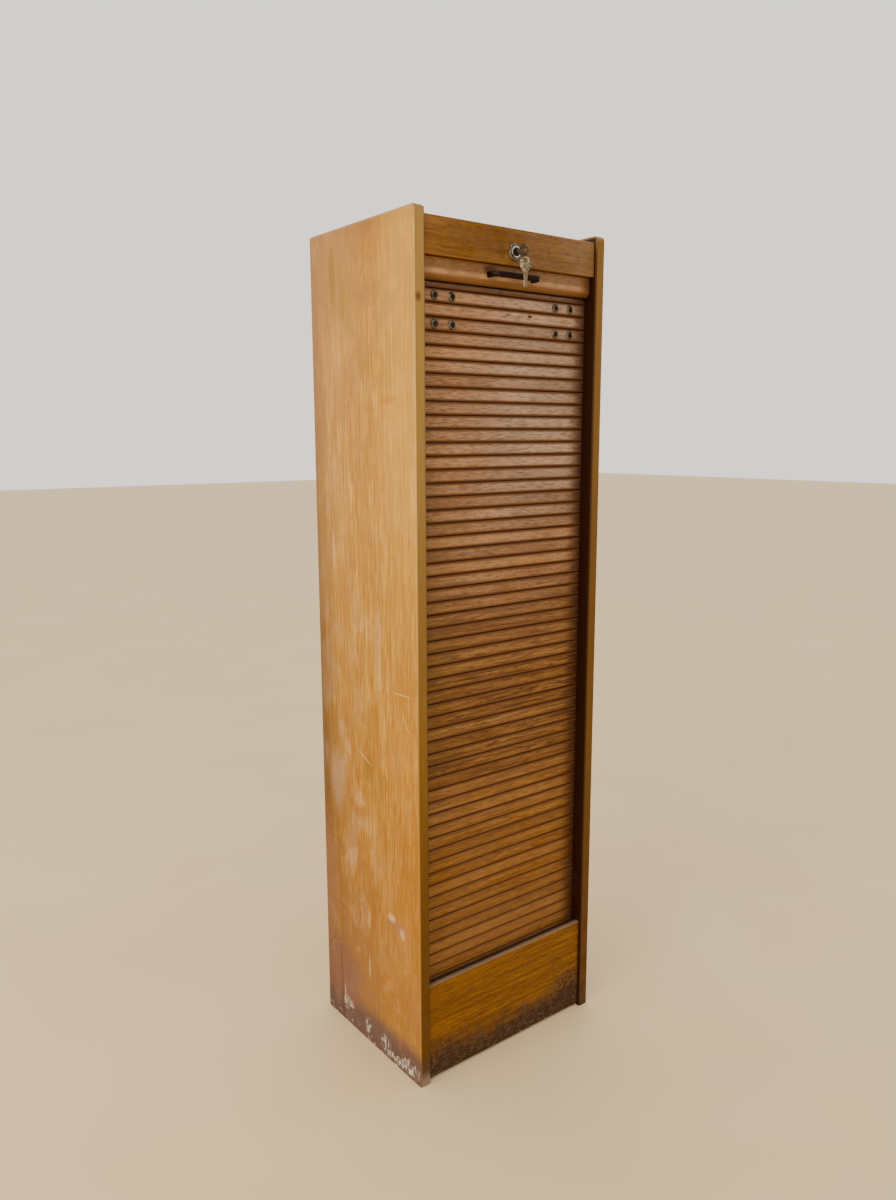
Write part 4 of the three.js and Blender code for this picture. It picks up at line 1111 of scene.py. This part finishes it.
def edge_of_bar(edge):
    """True for the long edges: level ones where two faces meet sharply, but not at the ends of the bar."""
    first, second = [vertex.co for vertex in edge.verts]
    at_ends = all(abs(place.y - grip_high.y) < 0.1 * mm for place in (first, second))
    return abs(first.z - second.z) < 0.1 * mm and not at_ends and edge.calc_face_angle(0) > 1


round_off(handle, 2.6 * mm, 5, edge_of_bar)
smooth(handle, 40)
dress(handle, enamel, "tambour", "dark_handle", "handle")
print("handle from and to, in mm:", corners_of(handle))

# %% [markdown]
# ## Screws in cup washers
#
# Eight slotted screws hold two steel straps behind the upper slats. Each sits in a cup washer, which is a
# ring pressed from sheet: a rolled outer edge, a crest and a bowl that the head lies in. No two slots point
# the same way.

# %% Cup washer and oval-head screw
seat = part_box("cup_washer_1")[1].y
screw_low, screw_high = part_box("slat_screw_1")
washer = turned("washer", [
    (2.55, 0.0), (2.55, -0.5), (3.2, -1.2), (4.4, -2.3), (4.75, -2.6), (5.1, -2.6), (5.6, -2.35), (6.5, -1.3),
    (7.0, -0.6), (7.2, -0.3), (7.2, 0.0), (2.55, 0.0)], 40, hole=True)
smooth(washer, 50)
head, tip = (screw_low.y - seat) / mm, (screw_high.y - seat) / mm
screw = turned("screw", [
    (0.6, head), (1.8, head + 0.2), (3.0, head + 0.6), (3.9, head + 1.05), (4.2, head + 1.3),
    (4.15, head + 1.45), (2.0, head + 3.5), (2.0, tip - 1.0), (1.2, tip)], 40)
slot = block("slot", (-6 * mm, (head - 3) * mm, -0.6 * mm), (6 * mm, (head + 1.0) * mm, 0.6 * mm))
combine(screw, slot, "DIFFERENCE")
smooth(screw, 35)
turn_between = 1.9  # radians from one slot to the next
for number in range(1, 9):
    low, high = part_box(f"cup_washer_{number}")
    for piece, name, node, finish in (
            (washer, "washer", "cup_washer", worn_plate), (screw, "screw", "slat_screw", dark_screw)):
        copy = twin(piece, f"{name}_{number}")
        copy.rotation_euler = (0, number * turn_between, 0)
        copy.location = ((low.x + high.x) / 2, seat, (low.z + high.z) / 2)
        dress(settle(copy), finish, "tambour", "aged_steel", f"{node}_{number}")
for piece in (washer, screw):
    bpy.data.objects.remove(piece)

# %% [markdown]
# ## Lock
#
# A cylinder lock through the fascia: a pressed rosette, a threaded housing and the plug that turns in it.
# The rosette is domed towards its rim, so that it mirrors a bright crescent of the room. The keyway is a
# slot in the plug, cut right round the key's blade.

# %% Rosette, housing and plug
hub = (lock_radius + fit) / mm
rim = (rose_high.x - rose_low.x) / 2 / mm
rise = (rose_high.y - rose_low.y) / mm
rosette = turned("rosette", [
    (hub, 0), (hub, -rise + 0.5), (hub + 0.4, -rise), (hub + 1.2, -rise), (rim - 1.6, -rise + 0.35),
    (rim - 0.8, -rise + 0.9), (rim - 0.25, -rise + 1.7), (rim, -rise + 2.5), (rim, 0), (hub, 0),
], 72, (lock_x, rose_high.y, lock_z), hole=True)
smooth(rosette, 50)
dress(rosette, worn_plate, "root", "nickel", "escutcheon")
barrel, plug_radius, stub = lock_radius / mm, 6.0, 3.4
length = (lock_high.y - lock_low.y) / mm
housing = turned("cylinder", [
    (plug_radius + 0.3, 0.4), (plug_radius + 0.7, 0), (barrel - 1.2, 0), (barrel - 0.35, 0.3), (barrel, 1.0),
    (barrel, length), (plug_radius + 0.3, length), (plug_radius + 0.3, 0.4),
], 64, (lock_x, lock_low.y, lock_z), hole=True)
smooth(housing, 40)
dress(housing, bright_nickel, "root", "nickel", "lock_housing")
plug_low, plug_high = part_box("lock_plug")
shoulder, whole = (lock_high.y - plug_low.y) / mm, (plug_high.y - plug_low.y) / mm
plug = turned("plug", [
    (plug_radius - 0.5, 0), (plug_radius, 0.4), (plug_radius, shoulder), (stub, shoulder), (stub, whole),
], 48, (lock_x, plug_low.y, lock_z))
blade = Vector((1.2 * mm, 0, 3.5 * mm))
plug_face = Vector((lock_x, plug_low.y, lock_z))
keyway = block(
    "keyway", plug_face - blade - Vector((0, past, 0)), plug_face + blade + Vector((0, 26 * mm, 0)))
combine(plug, keyway, "DIFFERENCE")
bore = turned(
    "screw_bore", [(2.0, (plug_high.y - past) / mm), (2.0, (plug_high.y + past) / mm)], 24,
    (lock_x, 0, lock_z))
combine(plug, bore, "DIFFERENCE")
smooth(plug, 35)
dress(plug, dark_screw, "lock", "nickel", "lock_plug")

# %% [markdown]
# ## Keys and ring
#
# The keys' outlines are already right in the frame, so a copy of each is taken, cleaned and given the edges
# of a stamped key. The copied mesh is loose triangles: its corners are merged first, and flat areas are
# dissolved back into single faces, because a bevel needs real edges. The spare key's blade can be seen, so a
# groove is milled along both its flats. The ring is a wire wound twice, as a split ring is.

# %% Two keys from the frame's outlines
spare_low, spare_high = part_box("spare_key")
hang_turn = math.radians(40)  # the spare key doesn't hang square to the front
half_key = 0.9 * mm
bow_height = 25 * mm
hang_line = (spare_low + spare_high) / 2
hang_line.z = spare_high.z - bow_height
for node, body in (("key", "lock"), ("spare_key", "spare_key")):
    key = twin(frame["nodes"][node], f"{node}_stamped")
    key.parent = None
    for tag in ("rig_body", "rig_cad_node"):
        del key[tag]
    with editing(key, "VERT"):
        bpy.ops.mesh.remove_doubles(threshold=0.01 * mm)
        bpy.ops.mesh.dissolve_limited(angle_limit=math.radians(1))
    key.data.materials.clear()
    for flat in (-1, 1) if node == "spare_key" else ():
        mill = block("mill", (-0.35 * mm, -1.6 * mm, -40 * mm), (0.35 * mm, -0.2 * mm, 0))
        mill.rotation_euler = (0, 0, hang_turn)
        mill.location = hang_line + flat * half_key * Vector((math.cos(hang_turn), math.sin(hang_turn), 0))
        combine(key, settle(mill), "DIFFERENCE")
    soften(key, 0.25 * mm, 50)
    dress(key, nickel_silver, body, "key_metal", node)

# %% Split ring
ring_low, ring_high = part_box("key_ring")
wire = 0.45 * mm
ring_radius = (ring_high.x - ring_low.x) / 2 - 2 * wire
turns, climb = 1.97, 1.9 * wire
ring = settle(started(
    "split_ring", bpy.ops.mesh.primitive_circle_add, vertices=10, radius=wire, location=(ring_radius, 0, 0),
    rotation=(math.pi / 2, 0, 0)))
with editing(ring, "EDGE"):
    bpy.ops.transform.rotate(value=math.pi / 2, orient_axis="X", center_override=(ring_radius, 0, 0))
modify(
    ring, "SCREW", axis="Z", angle=math.tau * turns, screw_offset=climb, steps=96, render_steps=96,
    iterations=1)
close_ends(ring)
ring.location = (0, 0, -climb / 2)
settle(ring)
ring.rotation_euler = (math.pi / 2, 0.6, 0)
ring.location = (ring_low + ring_high) / 2
settle(ring)
smooth(ring, 40)
dress(ring, worn_plate, "key_ring", "aged_steel", "key_ring")

# %% [markdown]
# ## Screws of the back panel
#
# The back is held by small round-head screws round its edge. One is turned and copied: they show only from
# behind, and there they keep a bare sheet of plywood from looking unfinished.

# %% Round-head screws in the back
stud = turned("stud", [(0.5, 1.6), (1.5, 1.45), (2.4, 0.95), (2.9, 0.0), (2.9, -0.4)], 24)
slot = block("slot", (-4 * mm, 1.1 * mm, -0.35 * mm), (4 * mm, 3 * mm, 0.35 * mm))
combine(stud, slot, "DIFFERENCE")
smooth(stud, 40)
places = [(x, z) for z in (90, 330, 570, 810, 1050, 1290) for x in (-160, 160)] + [(-60, 1372), (60, 1372)]
dice = random.Random(12)
studs = []
for x, z in places:
    copy = twin(stud, "back_screw")
    copy.rotation_euler = (0, dice.uniform(0, math.pi), 0)
    copy.location = (x * mm, back_high.y, z * mm)
    studs.append(settle(copy))
dress(join(studs, "back_screws"), worn_plate, "root", "aged_steel")
bpy.data.objects.remove(stud)

# %% [markdown]
# ## Pieces that keep their shape
#
# The shelves, the backs, the straps and the hidden parts of the lock are right as they are in the frame.
# They only need their finishes, which are put in the slots of the objects.

# %% Finishes for the frame's own pieces
kept = {
    inside_oak: shelves,
    plywood: ["inner_back_panel", "back_panel"],
    canvas: ["canvas_backing"],
    zinc: ["backing_plate_left", "backing_plate_right", "strike_plate", "strike_screw_left",
           "strike_screw_right", "handle_screw_left", "handle_screw_right", "lock_nut", "lock_cam",
           "cam_screw"],
}
for finish, names in kept.items():
    for name in names:
        for slot in frame["nodes"][name].material_slots:
            slot.material = finish
shown = [name for name, node in frame["nodes"].items() if not node.hide_render]
print("nodes shown as they are:", sorted(shown))

# %% [markdown]
# ## Floor and light
#
# A pale floor and one large soft window on the left, as in a bright room. The side board faces the window
# and is the brightest surface. The front is lit by what the room sends back, so a weaker and very wide light
# stands behind the camera, and the world gives the rest.

# %% Floor
floor = settle(started("floor", bpy.ops.mesh.primitive_plane_add, size=40, location=(0, 0, 0)))
floor_paint, tree, shader, place = new_finish("floor_pale_matt", Roughness=0.6)
mottle = add(tree, "TexNoise", {"Vector": place, "Scale": 1 / 400, "Detail": 3.0})
colour = add(tree, "Mix", {"Factor": mottle, "A": shade("#d6b887"), "B": shade("#dfc69b")}, data_type="RGBA")
tree.links.new(colour, shader.inputs["Base Color"])
floor.data.materials.append(floor_paint)

# %% Lights
world = bpy.data.worlds.new("room")
bpy.context.scene.world = world
world.use_nodes = True
backdrop = world.node_tree.nodes["Background"]
backdrop.inputs["Color"].default_value = shade("#e4e1da")
backdrop.inputs["Strength"].default_value = 1.8
aim = Vector((0, 0, 0.7))
for name, place, size, watts, code in (
        ("window", (-3.4, -0.7, 1.9), 2.6, 90, "#fff6e8"), ("room", (-0.6, -4.2, 2.4), 4.0, 6, "#fff3e0")):
    lamp = bpy.data.lights.new(name, "AREA")
    lamp.shape = "SQUARE"
    lamp.size = size
    lamp.energy = watts
    lamp.color = shade(code)[:3]
    light = bpy.data.objects.new(name, lamp)
    bpy.context.scene.collection.objects.link(light)
    light.location = place
    light.rotation_euler = (aim - light.location).to_track_quat("-Z", "Y").to_euler()
    print(name, "at", place, "with", watts, "W")
